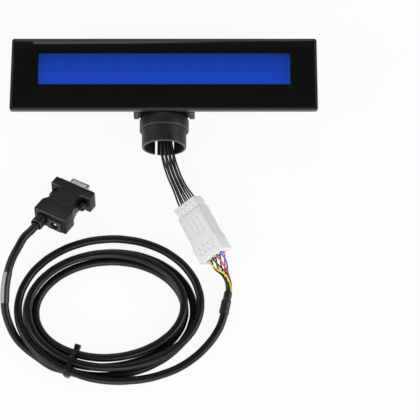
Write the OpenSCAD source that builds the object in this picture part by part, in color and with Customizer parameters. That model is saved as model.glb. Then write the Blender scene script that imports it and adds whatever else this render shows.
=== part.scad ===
// Customer pole display lying on its back: display head, tilting neck, wire harness and coiled serial cable.
// Millimetres. +X to the right of the face, +Y to the head's top, +Z out of the face.
// The origin is on the floor, under the middle of the head and neck.

/* [Head] */
// Width of the face
face_w = 230; // [200:1:300]
// Height of the face
face_h = 58; // [54:1:80]
// Depth of the head from its back to its face
head_depth = 38; // [38:0.5:60]
// Depth of the front bezel
bezel_depth = 4.5; // [4:0.1:6]
// Radius of the face's corners
face_corner = 2; // [1:0.1:5]
// Width of the rim round the front panel
rim_w = 1.8; // [1:0.1:4]
// How far the rim stands above the front panel
rim_proud = 0.4; // [0.1:0.1:1]
// Thickness of the front panel
lens_t = 2; // [1:0.1:3]
// Wall of the rear housing
housing_wall = 2.3; // [1.6:0.1:3]
// How far the housing's front edge sits inside the rim
housing_step = 1; // [0.5:0.1:2]
// How far each end of the housing draws in towards the back
taper_ends = 4; // [1:0.5:8]
// How far the top of the housing draws in towards the back
taper_top = 4; // [1:0.5:6]
// How far the bottom of the housing draws in towards the back
taper_bottom = 13.5; // [12:0.5:14]

/* [Display] */
// Width of the lit window
window_w = 189.6; // [150:0.2:195]
// Height of the lit window
window_h = 26.4; // [20:0.2:30]
// Height of the window's middle above the face's middle
window_up = 4.9; // [0:0.1:5]
// Steel shown round the window
frame_border_x = 1.2; // [1:0.1:4]
// Steel shown above and below the window
frame_border_y = 4.8; // [2:0.1:6]
// Sheet thickness of the display's frame
frame_sheet = 0.6; // [0.4:0.1:1]
// Depth of the display's frame
frame_depth = 7; // [6:0.1:10]
// Thickness of the display glass
glass_t = 2.6; // [2:0.1:4]
// Thickness of the foam gasket
gasket_t = 1; // [0.5:0.1:2]
// Thickness of the circuit boards
board_t = 1.6; // [1:0.1:2]

/* [Neck] */
// Radius of the spigot that enters the pole
spigot_r = 16.7; // [14:0.1:20]
// Length of the spigot
spigot_len = 13.3; // [10:0.1:40]
// Step from the spigot out to the collar
collar_step = 1.85; // [1:0.05:3]
// Length of the collar
collar_len = 8.8; // [6:0.1:20]
// Gap between the face's lower edge and the collar
collar_gap = 1.2; // [1:0.1:4]
// Wall of the spigot
neck_wall = 1.9; // [1.4:0.1:3]
// Width of the two slits in the spigot
slit_w = 1.6; // [1:0.1:3]
// Distance of each slit from the middle
slit_x = 6.3; // [4:0.1:10]
// Height of the tilt axis above the face's lower edge
pivot_up = 6.5; // [5:0.1:8]
// Radius of the hinge ears
ear_r = 6; // [5:0.1:7]
// Thickness of the hinge ears
ear_t = 4; // [3:0.1:6]
// Radius of the pivot pins
pin_r = 2.5; // [1.5:0.1:3]
// Thickness of the neck's hinge cheeks
cheek_t = 9.4; // [2.5:0.1:9.5]

/* [Harness] */
// Diameter of a black lead wire
lead_d = 1.4; // [1:0.1:1.4]
// Diameter of a coloured core wire
core_d = 1.2; // [0.8:0.1:1.3]
// Length of the mated connector
connector_len = 46.4; // [40:0.2:56]
// Width of the connector's receptacle half
connector_w = 18.6; // [18:0.1:22]
// Height of the connector's receptacle half
connector_h = 10; // [9.6:0.1:14]
// Pitch of the terminals
terminal_pitch = 4.2; // [4:0.1:4.4]

/* [Cable] */
// Diameter of the cable
cable_d = 6; // [5:0.1:6.2]
// Turns in the coil
coil_turns = 4; // [4:2:4]
// Half width of the coil at its outer turn
coil_half_w = 66.5; // [60:0.5:80]
// Half height of the coil at its outer turn
coil_half_h = 50.5; // [46:0.5:70]
// Step between neighbouring turns of a layer
coil_pitch = 6.7; // [6.6:0.1:8]
// Rise from the lower to the upper layer
coil_rise = 6.7; // [6.6:0.1:8]
// How far the upper turns fan out, per turn
coil_fan = 6; // [0:0.5:8]
// How far the lower right of the oval is drawn in
coil_flat = 4; // [0:0.5:6]
// Thickness of the cable tie
tie_t = 1.3; // [1:0.1:2]
// Width of the cable tie
tie_w = 3.6; // [2.5:0.1:5]

/* [Plug] */
// Height of the plug hood
hood_h = 15; // [14:0.1:20]
// Length of the plug hood
hood_len = 36; // [33:0.5:50]
// Width of the hood's front flange
hood_flange_w = 34.4; // [31:0.1:40]
// Length of the hood's front flange
hood_flange_len = 8; // [5:0.1:9]
// Width of the hood between the thumb screws
hood_waist_w = 18.2; // [16:0.1:18.4]
// Width of the hood at its rear
hood_rear_w = 27.4; // [25:0.1:32]
// Wall of the hood
hood_wall = 1.5; // [1.2:0.1:1.5]
// Distance between the two thumb screws
screw_spacing = 25; // [24.8:0.1:27]
// Radius of a thumb screw's knob
knob_r = 3; // [2.5:0.1:3.1]
// Length of a thumb screw's knob
knob_len = 5.5; // [4:0.1:9]
// Radius of the power socket's bore
jack_r = 3.15; // [2.6:0.05:3.6]
// Radius of the cable boot
boot_r = 4.8; // [4.2:0.1:4.8]
// Length of the cable boot behind the hood
boot_len = 8; // [5:0.5:20]

/* [Hidden] */
$fn = 48;
// Overshoot of a cut past the face it opens
cut = 1;
// Play between parts that drop into one another
drop_play = 0.15;
// Radial play of a screw in the hole that it threads into
thread_play = 0.05;
// Radial play of the pivot pins in the ears
pivot_play = 0.06;

// Places along the depth of the head
face_z = head_depth;
bezel_back_z = face_z - bezel_depth;
lens_top_z = face_z - rim_proud;
lens_back_z = lens_top_z - lens_t;
frame_top_z = lens_back_z - gasket_t;
lcd_board_top_z = frame_top_z - frame_depth;
lcd_board_z = lcd_board_top_z - board_t;

// Places along the height of the head
neck_drop = collar_gap + collar_len + spigot_len;
face_mid_y = neck_drop / 2;
face_low_y = face_mid_y - face_h / 2;
collar_top_y = face_low_y - collar_gap;
shoulder_y = collar_top_y - collar_len;
spigot_end_y = shoulder_y - spigot_len;
display_y = face_mid_y + window_up;
back_mid_y = face_mid_y + (taper_bottom - taper_top) / 2;

// Front panel and display module
lens_w = face_w - 2 * (rim_w + drop_play);
lens_h = face_h - 2 * (rim_w + drop_play);
lens_corner = 1;
frame_w = window_w + 2 * frame_border_x;
frame_h = window_h + 2 * frame_border_y;
opening_play = 1;
opening_w = frame_w + 2 * opening_play;
opening_h = frame_h + 2 * opening_play;
inside_w = frame_w - 2 * frame_sheet;
inside_h = frame_h - 2 * frame_sheet;
glass_w = inside_w - 2 * drop_play;
glass_h = inside_h - 2 * drop_play;
glass_top_z = frame_top_z - frame_sheet;
backlight_top_z = glass_top_z - glass_t;
lcd_post_r = 2;
lcd_post_x = frame_w / 2 + opening_play + lcd_post_r / 2;
lcd_post_y = 15;
lcd_board_w = 2 * (lcd_post_x + 2.2);
lcd_board_h = frame_h + 2;
small_screw_r = 0.9;
small_head_r = 1.8;
small_head_t = 1.5;

// Housing screws and their posts
post_gap = 1;
bezel_boss_r = 2.9;
housing_screw_x = lcd_board_w / 2 + post_gap + bezel_boss_r;
housing_screw_y = 13;
housing_screw_r = 1.5;
housing_tube_r = 4.2;
housing_head_r = 2.8;
housing_head_t = 2;
housing_hole_r = 1.7;
counterbore_r = 3.2;
tube_top_z = lcd_board_z - 0.4;
tube_floor_t = 3;
screw_seat_z = tube_top_z - tube_floor_t;
screw_tip_z = bezel_back_z - 1;

// Rear housing
housing_front_w = face_w - 2 * housing_step;
housing_front_h = face_h - 2 * housing_step;
housing_back_w = housing_front_w - 2 * taper_ends;
housing_back_h = housing_front_h - taper_top - taper_bottom;
back_corner = 6;
edge_t = 1;
lip_depth = 2;
lip_t = 1.2;
lip_play = 0.2;
label_w = 80;
label_h = 18;
label_deep = 0.4;

// Neck and hinge
collar_r = spigot_r + collar_step;
bore_r = spigot_r - neck_wall;
axis_z = collar_r + 0.35;
pivot_y = face_low_y + pivot_up;
ear_in = collar_r + 0.45;
ear_out = ear_in + ear_t;
washer_t = 1.1;
washer_play = 0.1;
cheek_out = ear_in - washer_t - 2 * washer_play;
cheek_in = cheek_out - cheek_t;
cheek_r = ear_r - 0.5;
cheek_half = 6;
web_drop = 4.3;
washer_r = ear_r - 1;
ear_root = 8;
throat_low_z = housing_wall + 0.2;
throat_up = 15;
dimple_r = 1.5;
dimple_x = 5;
dimple_deep = 0.6;
dimple_up = 3.2;

// Controller board
controller_w = 130;
controller_h = 26;
controller_y = face_mid_y + 3;
controller_top_z = axis_z - 3.5;
controller_z = controller_top_z - board_t;
controller_post_r = 2.5;
controller_post_x = 60;
controller_post_y = 10;
header_pins = 16;
header_pitch = 2.54;
header_x = -50;
header_y = controller_y + 7.5;
header_hole_r = 0.5;
header_pin = 0.6;
header_tail = 1.4;
wires = 8;
row_pitch = 2;
wire_header_w = wires * row_pitch + 3;
wire_header_h = 7;
wire_header_len = 6;
wire_header_y = controller_y - controller_h / 2 + 1;
hinge_gap = 0.4;

// Connector, in its own frame: X along the wires, Y across, Z through its thickness
connector_rear_at = [39, -83, 12.2];
connector_yaw = -63;
connector_roll = 37;
connector_at = connector_rear_at - connector_len * [cos(connector_yaw), sin(connector_yaw), 0];
rows = 2;
columns = wires / rows;
cavity = 3.2;
receptacle_len = 27;
shroud_from = 8;
shroud_wall = 1.3;
lip_gap = 0.2;
lip_len = shroud_from - lip_gap;
lip_proud = shroud_wall;
notch_from = 2.2;
plug_rear_from = 33;
plug_rear_proud = 0.9;
plug_floor_x = receptacle_len + 0.3;
latch_w = 6;
latch_t = 1.4;
latch_from = 2;
latch_to = 19;
wire_in = 4;
terminal = 2.6;
mate_from = 18;
mate_to = 30;
mate_pin = 1.1;

// Sleeve at the cable's end, in its own frame: Y from the cable towards the wires
shrink_at = [44.6, -124.5, 3.75];
shrink_yaw = -12;
shrink_wide_len = 9.5;
shrink_cone_len = 2;
shrink_len = 17;
shrink_t = 0.5;
sleeve_play = 0.15;
core_ring_r = 1.75;
shrink_core_r = core_ring_r + core_d / 2 + sleeve_play;
cable_in = 8.5;

// Plug, in its own frame: X across, Y towards the serial port it plugs into
plug_yaw = -30;
plug_tilt = 24.5;
// The plug leans on the front left corner of its flange
plug_at = [-65.6, -34.2, hood_flange_w / 2 * sin(-plug_yaw) * sin(plug_tilt)];
hood_mid_z = hood_h / 2;
flare_to = hood_len - 11.2;
flare_from = flare_to - 3.8;
waist_swell = 1.8;
screw_hole_r = 1.75;
screw_r = 1.4;
shank_r = 1.2;
screw_reach = 1.5;
knob_gap = 0.4;
knob_ribs = 12;
knob_rib = 0.5;
plate_w = 30.8;
plate_h = 12.4;
plate_t = 0.9;
shell_w = 16.4;
shell_h = 8.2;
shell_slant = 1.4;
shell_corner = 1.6;
shell_sheet = 0.5;
shell_reach = 5.9;
block_w = 18.4;
block_h = 10;
block_len = hood_flange_len;
block_play = 0.1;
room_lap = 0.5;
contact_pitch = 2.77;
contact_row = 1.42;
contact_r = 0.75;
contact_bore_r = 0.5;
contact_tail = 3;
jack_x = 4.6;
jack_drop = 1.2;
jack_plate_w = 12;
jack_plate_h = 9.6;
jack_plate_t = 3;
jack_proud = 1.5;
jack_body_w = 9.4;
jack_body_len = 11;
jack_depth = 9.5;
jack_pin_r = 1.05;
jack_pin_len = 8;
boot_x = -6.6;
boot_neck_r = 3.9;
boot_flange_t = 2.4;
boot_bore_r = cable_d / 2 + sleeve_play;
rib_count = 3;
rib_pitch = 3.1;
rib_w = 0.9;
rib_proud = 0.3;
rib_from = 15.2;

// Coil: an oval spiral that winds in on the floor, climbs at the tie and winds out on top
coil_mid = [-39.5, -124.2];
tie_angle = 244;
fan_angle = 40;
flat_angle = 312;
tie_play = 0.5;
tie_lift = tie_t + tie_play + 0.05;
loop_rings = 24;
loop_sides = 6;
gap_samples = 48;
run_sides = 10;
wire_sides = 8;

// Routes, from the spigot's end on the floor, in whole and half millimetres
lead_route = [[1, 12, 14.5], [2, 1, 11.5], [5.5, -13, 9.5], [11.5, -28, 9.5]];
lead_spread = [2.6, 2.9, 3.1, 3.2];
lead_turn = [0, 12, 37, 37];
core_route = [[42, -88.5, 8.5], [45.5, -94.5, 6], [48, -101, 4.4]];
core_mix = [0.35, 0.75, 1];
core_ring = [2.3, 2.1, 1.9];
core_turn = [-10, -55, -95];
core_turn_end = -130;
left_route = [
    [-101.2, -73.3, 28.6], [-105.5, -81.2, 28.4], [-109.6, -88.6, 26.2], [-113, -98.4, 23],
    [-114.5, -105.9, 20.5], [-115.1, -111.5, 18.3], [-115.4, -119.4, 15.2], [-114.6, -126.3, 12.4],
    [-111.9, -134.6, 9], [-107.2, -143.2, 5.6], [-100.4, -150.2, 3.8], [-91.5, -157, 3.5]
];
right_route = [
    [-46.5, -175.5, 10.5], [-35, -176.3, 8.8], [-23, -175.5, 6.9], [-11, -173.5, 5], [0.5, -170, 3.7],
    [12, -165, 3], [22.5, -158, 3], [31.5, -149.5, 3], [39, -139.5, 3.2]
];
// The label covers the left run between these two points of its route
label_from = 3;
label_to = 6;
sleeve_t = 0.2;

function unit(v) = v / norm(v);
function mix(a, b, k) = a * (1 - k) + b * k;
function smooth(k) = let (c = max(0, min(1, k))) c * c * (3 - 2 * c);
function turn(p, angle) = [p[0] * cos(angle) - p[1] * sin(angle), p[0] * sin(angle) + p[1] * cos(angle)];

// Points of a piece's own frame, brought into the harness frame
function yawed(p, yaw, at) = concat(turn([p[0], p[1]], yaw) + [at[0], at[1]], [p[2] + at[2]]);
function connector_point(x, y, z) =
    let (rolled = turn([y, z], connector_roll)) yawed([x, rolled[0], rolled[1]], connector_yaw, connector_at);
function shrink_point(y) = yawed([0, y, 0], shrink_yaw, shrink_at);
function plug_point(x, y, z) =
    let (flat = turn([x, y], plug_yaw), leant = turn([flat[1], z], -plug_tilt))
    plug_at + [flat[0], leant[0], leant[1]];

// Side and up of a cross-section, square to the way a route runs
function heading(route, i) = unit(route[min(i + 1, len(route) - 1)] - route[max(i - 1, 0)]);
function side_of(way) = unit(cross([0, 0, 1], way));
function section_point(at, way, p) = at + p[0] * side_of(way) + p[1] * cross(way, side_of(way));
function ring_points(route, i, r, sides) = [
    for (k = [0 : sides - 1])
        section_point(route[i], heading(route, i), r * [cos(360 * k / sides), sin(360 * k / sides)])
];

// The coil's centre line, in turns from the tie
function coil_phase(t) = tie_angle + 360 * t;
function facing(t, angle) = (1 + cos(coil_phase(t) - angle)) / 2;
function coil_inset(t) =
    min(t, coil_turns - t) * coil_pitch
    + coil_flat * pow(facing(t, flat_angle), 3)
    - coil_fan * max(0, t - coil_turns / 2) * facing(t, fan_angle);
function coil_height(t) =
    cable_d / 2 + tie_lift * pow(facing(t, tie_angle), 4)
    + coil_rise * smooth(2 * (t - coil_turns / 2) + 0.5);
function oval_point(angle) = coil_mid + [coil_half_w * cos(angle), coil_half_h * sin(angle)];
function oval_normal(angle) = unit([cos(angle) / coil_half_w, sin(angle) / coil_half_h]);
function coil_point(t) = concat(
    oval_point(coil_phase(t)) - coil_inset(t) * oval_normal(coil_phase(t)),
    [coil_height(t)]
);
function coil_way(t) = unit(coil_point(t + coil_probe) - coil_point(t - coil_probe));
coil_probe = 0.01;
coil_start = coil_point(0) - cable_d * coil_way(0);
coil_end = coil_point(coil_turns) + cable_d * coil_way(coil_turns);
coil_path = concat(
    [coil_start],
    [for (i = [0 : coil_turns * loop_rings]) coil_point(i / loop_rings)],
    [coil_end]
);
coil_samples = [for (i = [0 : coil_turns * gap_samples]) coil_point(i / gap_samples)];
coil_least_gap = min([
    for (i = [0 : len(coil_samples) - 1])
        for (j = [i + gap_samples / 2 : len(coil_samples) - 1])
            norm(coil_samples[i] - coil_samples[j])
]) - cable_d;
function path_length(route, i = 0) =
    i >= len(route) - 1 ? 0 : norm(route[i + 1] - route[i]) + path_length(route, i + 1);

// Free stretches of the cable, from what they leave to what they enter
boot_end = -(hood_len + boot_len);
boot_inner = -(hood_len - hood_wall - boot_flange_t);
left_path = concat(
    [plug_point(boot_x, boot_inner, hood_mid_z), plug_point(boot_x, boot_end - cable_d, hood_mid_z)],
    left_route,
    [coil_start - cable_d * coil_way(0), coil_start]
);
right_path = concat(
    [coil_end, coil_end + cable_d * coil_way(coil_turns)],
    right_route,
    [shrink_point(-cable_d), shrink_point(cable_in)]
);
cable_length = path_length(left_path) + path_length(coil_path) + path_length(right_path);
echo(coil_least_gap = coil_least_gap, cable_length = cable_length);

// The eight wires keep their order round the bundle: along the lower row, then back along the upper row
function wire_column(i) = i < columns ? i : wires - 1 - i;
function wire_row(i) = i < columns ? 0 : 1;
function grid_place(i, pitch) = [(wire_column(i) - (columns - 1) / 2) * pitch, (wire_row(i) - 0.5) * pitch];
function row_place(i) = [(rows * wire_column(i) + wire_row(i) - (wires - 1) / 2) * row_pitch, 0];
function ring_place(i, r) = r * [-cos(22.5 + 45 * i), -sin(22.5 + 45 * i)];

// A lead runs from the tilt axis, through the neck, into its own cavity of the connector
lead_middle = concat(
    [[0, pivot_y - spigot_end_y, axis_z]],
    lead_route,
    [connector_point(0, 0, 0)]
);
function lead_path(i) = concat(
    [[row_place(i)[0], pivot_y - hinge_gap - spigot_end_y, axis_z]],
    [
        for (k = [0 : len(lead_route) - 1])
            section_point(
                lead_route[k],
                heading(lead_middle, k + 1),
                turn(grid_place(i, lead_spread[k]), lead_turn[k])
            )
    ],
    [
        for (x = [-0.5, wire_in])
            connector_point(x, grid_place(i, terminal_pitch)[0], grid_place(i, terminal_pitch)[1])
    ]
);

// A core runs from its cavity into the sleeve, and the bundle twists on the way
core_middle = concat([connector_point(connector_len, 0, 0)], core_route, [shrink_point(shrink_len)]);
function core_path(i) = concat(
    [
        for (x = [connector_len - wire_in, connector_len + 0.5])
            connector_point(x, grid_place(i, terminal_pitch)[0], grid_place(i, terminal_pitch)[1])
    ],
    [
        for (k = [0 : len(core_route) - 1])
            section_point(
                core_route[k],
                heading(core_middle, k + 1),
                turn(
                    mix(grid_place(i, terminal_pitch), ring_place(i, core_ring[k]), core_mix[k]),
                    core_turn[k]
                )
            )
    ],
    [
        for (y = [shrink_len + 0.5, cable_in + 1])
            section_point(
                shrink_point(y),
                unit(shrink_point(0) - shrink_point(1)),
                turn(ring_place(i, core_ring_r), core_turn_end)
            )
    ]
);

module swept_tube(route, r, sides) {
    rings = len(route);
    points = [for (i = [0 : rings - 1]) each ring_points(route, i, r, sides)];
    walls = [
        for (i = [0 : rings - 2])
            for (k = [0 : sides - 1])
                let (a = i * sides + k, b = i * sides + (k + 1) % sides)
                    each [[a, b, a + sides], [b, b + sides, a + sides]]
    ];
    first_cap = [for (k = [1 : sides - 2]) [0, k + 1, k]];
    base = (rings - 1) * sides;
    last_cap = [for (k = [1 : sides - 2]) [base, base + k, base + k + 1]];
    polyhedron(points = points, faces = [for (f = concat(walls, first_cap, last_cap)) [f[0], f[2], f[1]]]);
}

module rounded(w, h, r) {
    square([w - 2 * r, h], center = true);
    square([w, h - 2 * r], center = true);
    for (x = [-1, 1]) {
        for (y = [-1, 1]) {
            translate([x * (w / 2 - r), y * (h / 2 - r)]) circle(r);
        }
    }
}

module plate(w, h, r, low, high, mid_y = face_mid_y) {
    translate([0, mid_y, low]) linear_extrude(high - low) rounded(w, h, r);
}

module block(w, h, low, high, mid_y = face_mid_y) {
    translate([-w / 2, mid_y - h / 2, low]) cube([w, h, high - low]);
}

module box(from, to) {
    translate(from) cube(to - from);
}

module four(x, y, mid_y) {
    for (sx = [-1, 1]) {
        for (sy = [-1, 1]) {
            translate([sx * x, mid_y + sy * y, 0]) children();
        }
    }
}

module rod_z(r, low, high) {
    translate([0, 0, low]) cylinder(r = r, h = high - low);
}

module rod_y(r, from, to) {
    translate([0, from, 0]) rotate([-90, 0, 0]) cylinder(r = r, h = to - from);
}

module rod_x(r, from, to) {
    translate([from, 0, 0]) rotate([0, 90, 0]) cylinder(r = r, h = to - from);
}

module screw(r, head_r, head_t, head_z, tip_z) {
    way = tip_z > head_z ? 1 : -1;
    rod_z(r, min(head_z, tip_z), max(head_z, tip_z));
    rod_z(head_r, min(head_z, head_z - way * head_t), max(head_z, head_z - way * head_t));
}

module at_pivot() {
    translate([0, pivot_y, axis_z]) children();
}

module in_harness() {
    translate([0, spigot_end_y, 0]) children();
}

module in_connector() {
    in_harness()
        translate(connector_at)
            rotate([0, 0, connector_yaw])
                rotate([connector_roll, 0, 0])
                    children();
}

module in_shrink() {
    in_harness() translate(shrink_at) rotate([0, 0, shrink_yaw]) children();
}

module in_plug() {
    in_harness() translate(plug_at) rotate([-plug_tilt, 0, 0]) rotate([0, 0, plug_yaw]) children();
}

// Head

module front_bezel() {
    lip_in_x = housing_wall + taper_ends * lip_depth / bezel_back_z + lip_play;
    lip_in_y = housing_wall + taper_bottom * lip_depth / bezel_back_z + lip_play;
    lip_w = housing_front_w - 2 * lip_in_x;
    lip_h = housing_front_h - 2 * lip_in_y;
    lip_low_z = bezel_back_z - lip_depth;
    boss_top_z = bezel_back_z + edge_t;
    color([0.13, 0.14, 0.14]) difference() {
        union() {
            plate(face_w, face_h, face_corner, bezel_back_z, face_z);
            difference() {
                plate(lip_w, lip_h, face_corner, lip_low_z, boss_top_z);
                plate(lip_w - 2 * lip_t, lip_h - 2 * lip_t, lens_corner, lip_low_z - cut, bezel_back_z);
            }
            four(housing_screw_x, housing_screw_y, back_mid_y) rod_z(bezel_boss_r, tube_top_z, boss_top_z);
            four(lcd_post_x, lcd_post_y, display_y) rod_z(lcd_post_r, lcd_board_top_z, boss_top_z);
        }
        plate(face_w - 2 * rim_w, face_h - 2 * rim_w, lens_corner, lens_back_z, face_z + cut);
        block(opening_w, opening_h, bezel_back_z - cut, face_z, display_y);
        box([-ear_out, face_low_y, lip_low_z - cut], [ear_out, face_low_y + throat_up, bezel_back_z]);
        four(housing_screw_x, housing_screw_y, back_mid_y)
            rod_z(housing_screw_r + thread_play, tube_top_z - cut, bezel_back_z);
        four(lcd_post_x, lcd_post_y, display_y)
            rod_z(small_screw_r + thread_play, lcd_board_top_z - cut, bezel_back_z);
    }
}

module front_lens() {
    color([0.06, 0.05, 0.06]) plate(lens_w, lens_h, lens_corner, lens_back_z, lens_top_z);
}

module lcd_gasket() {
    color([0.2, 0.2, 0.2]) difference() {
        block(frame_w, frame_h, frame_top_z, lens_back_z, display_y);
        block(window_w, window_h, frame_top_z - cut, lens_back_z + cut, display_y);
    }
}

module lcd_frame() {
    color([0.1, 0.1, 0.11]) difference() {
        block(frame_w, frame_h, lcd_board_top_z, frame_top_z, display_y);
        block(inside_w, inside_h, lcd_board_top_z - cut, glass_top_z, display_y);
        block(window_w, window_h, glass_top_z - cut, frame_top_z + cut, display_y);
    }
}

module lcd_glass() {
    color([0.1, 0.24, 0.63]) block(glass_w, glass_h, backlight_top_z, glass_top_z, display_y);
}

module lcd_backlight() {
    color([0.9, 0.92, 0.95]) block(glass_w, glass_h, lcd_board_top_z, backlight_top_z, display_y);
}

module header_holes(low, high) {
    for (i = [0 : header_pins - 1]) {
        translate([header_x + i * header_pitch, header_y, 0]) rod_z(header_hole_r, low - cut, high + cut);
    }
}

module lcd_board() {
    color([0.05, 0.3, 0.15]) difference() {
        block(lcd_board_w, lcd_board_h, lcd_board_z, lcd_board_top_z, display_y);
        four(lcd_post_x, lcd_post_y, display_y)
            rod_z(small_screw_r + drop_play, lcd_board_z - cut, lcd_board_top_z + cut);
        header_holes(lcd_board_z, lcd_board_top_z);
    }
}

module lcd_screws() {
    color([0.6, 0.6, 0.62]) four(lcd_post_x, lcd_post_y, display_y)
        screw(small_screw_r, small_head_r, small_head_t, lcd_board_z, lcd_board_top_z + 4);
}

module board_header() {
    strip_w = header_pins * header_pitch;
    pin_low_z = controller_z - header_tail;
    pin_high_z = lcd_board_top_z - 0.3;
    color([0.12, 0.12, 0.12]) union() {
        translate([header_x - header_pitch / 2, header_y - header_pitch / 2, controller_top_z])
            cube([strip_w, header_pitch, lcd_board_z - controller_top_z]);
        for (i = [0 : header_pins - 1]) {
            translate([header_x + i * header_pitch, header_y, (pin_low_z + pin_high_z) / 2])
                cube([header_pin, header_pin, pin_high_z - pin_low_z], center = true);
        }
    }
}

module controller_board() {
    color([0.05, 0.3, 0.15]) difference() {
        translate([-controller_w / 2, controller_y - controller_h / 2, controller_z])
            cube([controller_w, controller_h, board_t]);
        four(controller_post_x, controller_post_y, controller_y)
            rod_z(small_screw_r + drop_play, controller_z - cut, controller_top_z + cut);
        header_holes(controller_z, controller_top_z);
    }
}

module controller_chips() {
    // Centre and size of each chip, on the board
    chips = [[22, 3, 12, 12, 1.6], [42, 3, 10, 7, 1.8], [-25, -4, 18, 8, 2], [-48, -4, 6, 5, 1.5]];
    color([0.08, 0.08, 0.09]) for (c = chips) {
        translate([c[0], controller_y + c[1], controller_top_z + c[4] / 2])
            cube([c[2], c[3], c[4]], center = true);
    }
}

module capacitors() {
    color([0.15, 0.17, 0.3]) for (x = [30, 40, 50]) {
        translate([x, controller_y - 7.5, 0]) rod_z(3, controller_top_z, controller_top_z + 6);
    }
}

module controller_screws() {
    color([0.6, 0.6, 0.62]) four(controller_post_x, controller_post_y, controller_y)
        screw(small_screw_r, small_head_r, small_head_t, controller_top_z, controller_z - 5);
}

module wire_header() {
    color([0.9, 0.88, 0.82]) difference() {
        translate([-wire_header_w / 2, wire_header_y, controller_top_z])
            cube([wire_header_w, wire_header_len, wire_header_h]);
        for (i = [0 : wires - 1]) {
            translate([row_place(i)[0], 0, axis_z])
                rod_y(lead_d / 2 + drop_play, wire_header_y - cut, wire_header_y + wire_header_len - cut);
        }
    }
}

module board_leads() {
    color([0.07, 0.07, 0.08]) for (i = [0 : wires - 1]) {
        translate([row_place(i)[0], 0, axis_z])
            rod_y(lead_d / 2, pivot_y + hinge_gap, wire_header_y + wire_header_len - 2 * cut);
    }
}

module housing_form(in, low) {
    back = [housing_back_w - 2 * in, housing_back_h - 2 * in];
    front = [housing_front_w - 2 * in, housing_front_h - 2 * in];
    hull() {
        plate(back[0], back[1], back_corner - in, low, low + edge_t, back_mid_y, $fn = 32);
        plate(front[0], front[1], face_corner, bezel_back_z - edge_t, bezel_back_z, $fn = 32);
    }
}

module rear_housing() {
    mouth_w = housing_front_w - 2 * housing_wall;
    mouth_h = housing_front_h - 2 * housing_wall;
    color([0.09, 0.09, 0.1]) difference() {
        union() {
            difference() {
                housing_form(0, 0);
                housing_form(housing_wall, housing_wall);
                block(mouth_w, mouth_h, bezel_back_z - edge_t / 2, face_z);
            }
            intersection() {
                housing_form(0, 0);
                four(housing_screw_x, housing_screw_y, back_mid_y) rod_z(housing_tube_r, 0, tube_top_z);
            }
            four(controller_post_x, controller_post_y, controller_y)
                rod_z(controller_post_r, housing_wall / 2, controller_z);
            for (side = [-1, 1]) {
                at_pivot() translate([side * (ear_in + ear_out) / 2, 0, 0]) {
                    rod_x(ear_r, -ear_t / 2, ear_t / 2);
                    translate([-ear_t / 2, 0, -ear_r]) cube([ear_t, ear_root, 2 * ear_r]);
                }
            }
        }
        box([-ear_in, face_low_y - cut, throat_low_z], [ear_in, face_low_y + throat_up, face_z]);
        at_pivot() rod_x(pin_r + pivot_play, -ear_out - cut, ear_out + cut);
        four(housing_screw_x, housing_screw_y, back_mid_y) {
            rod_z(counterbore_r, -cut, screw_seat_z);
            rod_z(housing_hole_r, 0, tube_top_z + cut);
        }
        four(controller_post_x, controller_post_y, controller_y)
            rod_z(small_screw_r + thread_play, housing_wall, controller_z + cut);
        block(label_w, label_h, -cut, label_deep, back_mid_y);
    }
}

module housing_screws() {
    color([0.6, 0.6, 0.62]) four(housing_screw_x, housing_screw_y, back_mid_y)
        screw(housing_screw_r, housing_head_r, housing_head_t, screw_seat_z, screw_tip_z);
}

// Neck

// Two cheeks with a channel for the wires between them, over a thin web
module hinge_block() {
    low_y = collar_top_y - pivot_y - edge_t;
    difference() {
        union() {
            rod_x(cheek_r, -cheek_out, cheek_out);
            box([-cheek_out, low_y, -cheek_half], [cheek_out, 0, cheek_half]);
        }
        box([-cheek_in, low_y - cut, -web_drop], [cheek_in, cheek_r + cut, cheek_half + cut]);
    }
}

module neck() {
    color([0.14, 0.13, 0.14]) difference() {
        union() {
            translate([0, 0, axis_z]) {
                rod_y(collar_r, shoulder_y, collar_top_y);
                rod_y(spigot_r, spigot_end_y, shoulder_y);
            }
            at_pivot() hinge_block();
        }
        translate([0, 0, axis_z]) rod_y(bore_r, spigot_end_y - cut, collar_top_y);
        for (x = [-slit_x, slit_x]) {
            translate([x - slit_w / 2, spigot_end_y - cut, axis_z - spigot_r - cut])
                cube([slit_w, spigot_len + cut, spigot_r]);
        }
        at_pivot() rod_x(pin_r, -ear_out, ear_out);
        translate([dimple_x, spigot_end_y + dimple_up, axis_z])
            rod_z(dimple_r, sqrt(pow(spigot_r, 2) - pow(dimple_x, 2)) - dimple_deep, spigot_r + cut);
    }
}

module pivot_pins() {
    color([0.65, 0.65, 0.67]) for (side = [-1, 1]) {
        at_pivot() translate([side * (cheek_in + ear_out) / 2, 0, 0])
            rod_x(pin_r, -(ear_out - cheek_in) / 2, (ear_out - cheek_in) / 2);
    }
}

module friction_washers() {
    color([0.05, 0.05, 0.06]) for (side = [-1, 1]) {
        at_pivot() translate([side * (cheek_out + washer_play + washer_t / 2), 0, 0]) difference() {
            rod_x(washer_r, -washer_t / 2, washer_t / 2);
            rod_x(pin_r + washer_play, -washer_t, washer_t);
        }
    }
}

// Harness

module lead_wires() {
    color([0.07, 0.07, 0.08]) in_harness() for (i = [0 : wires - 1]) {
        swept_tube(lead_path(i), lead_d / 2, wire_sides);
    }
}

module core_wires() {
    shades = [
        [0.05, 0.05, 0.05], [0.0, 0.4, 0.25], [0.35, 0.1, 0.3], [0.9, 0.45, 0.35],
        [0.1, 0.3, 0.85], [0.8, 0.12, 0.15], [0.35, 0.15, 0.1], [0.95, 0.85, 0.1]
    ];
    in_harness() for (i = [0 : wires - 1]) {
        color(shades[i]) swept_tube(core_path(i), core_d / 2, wire_sides);
    }
}

module cavities(from, to, size) {
    for (i = [0 : wires - 1]) {
        at = grid_place(i, terminal_pitch);
        translate([from, at[0] - size / 2, at[1] - size / 2]) cube([to - from, size, size]);
    }
}

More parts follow.
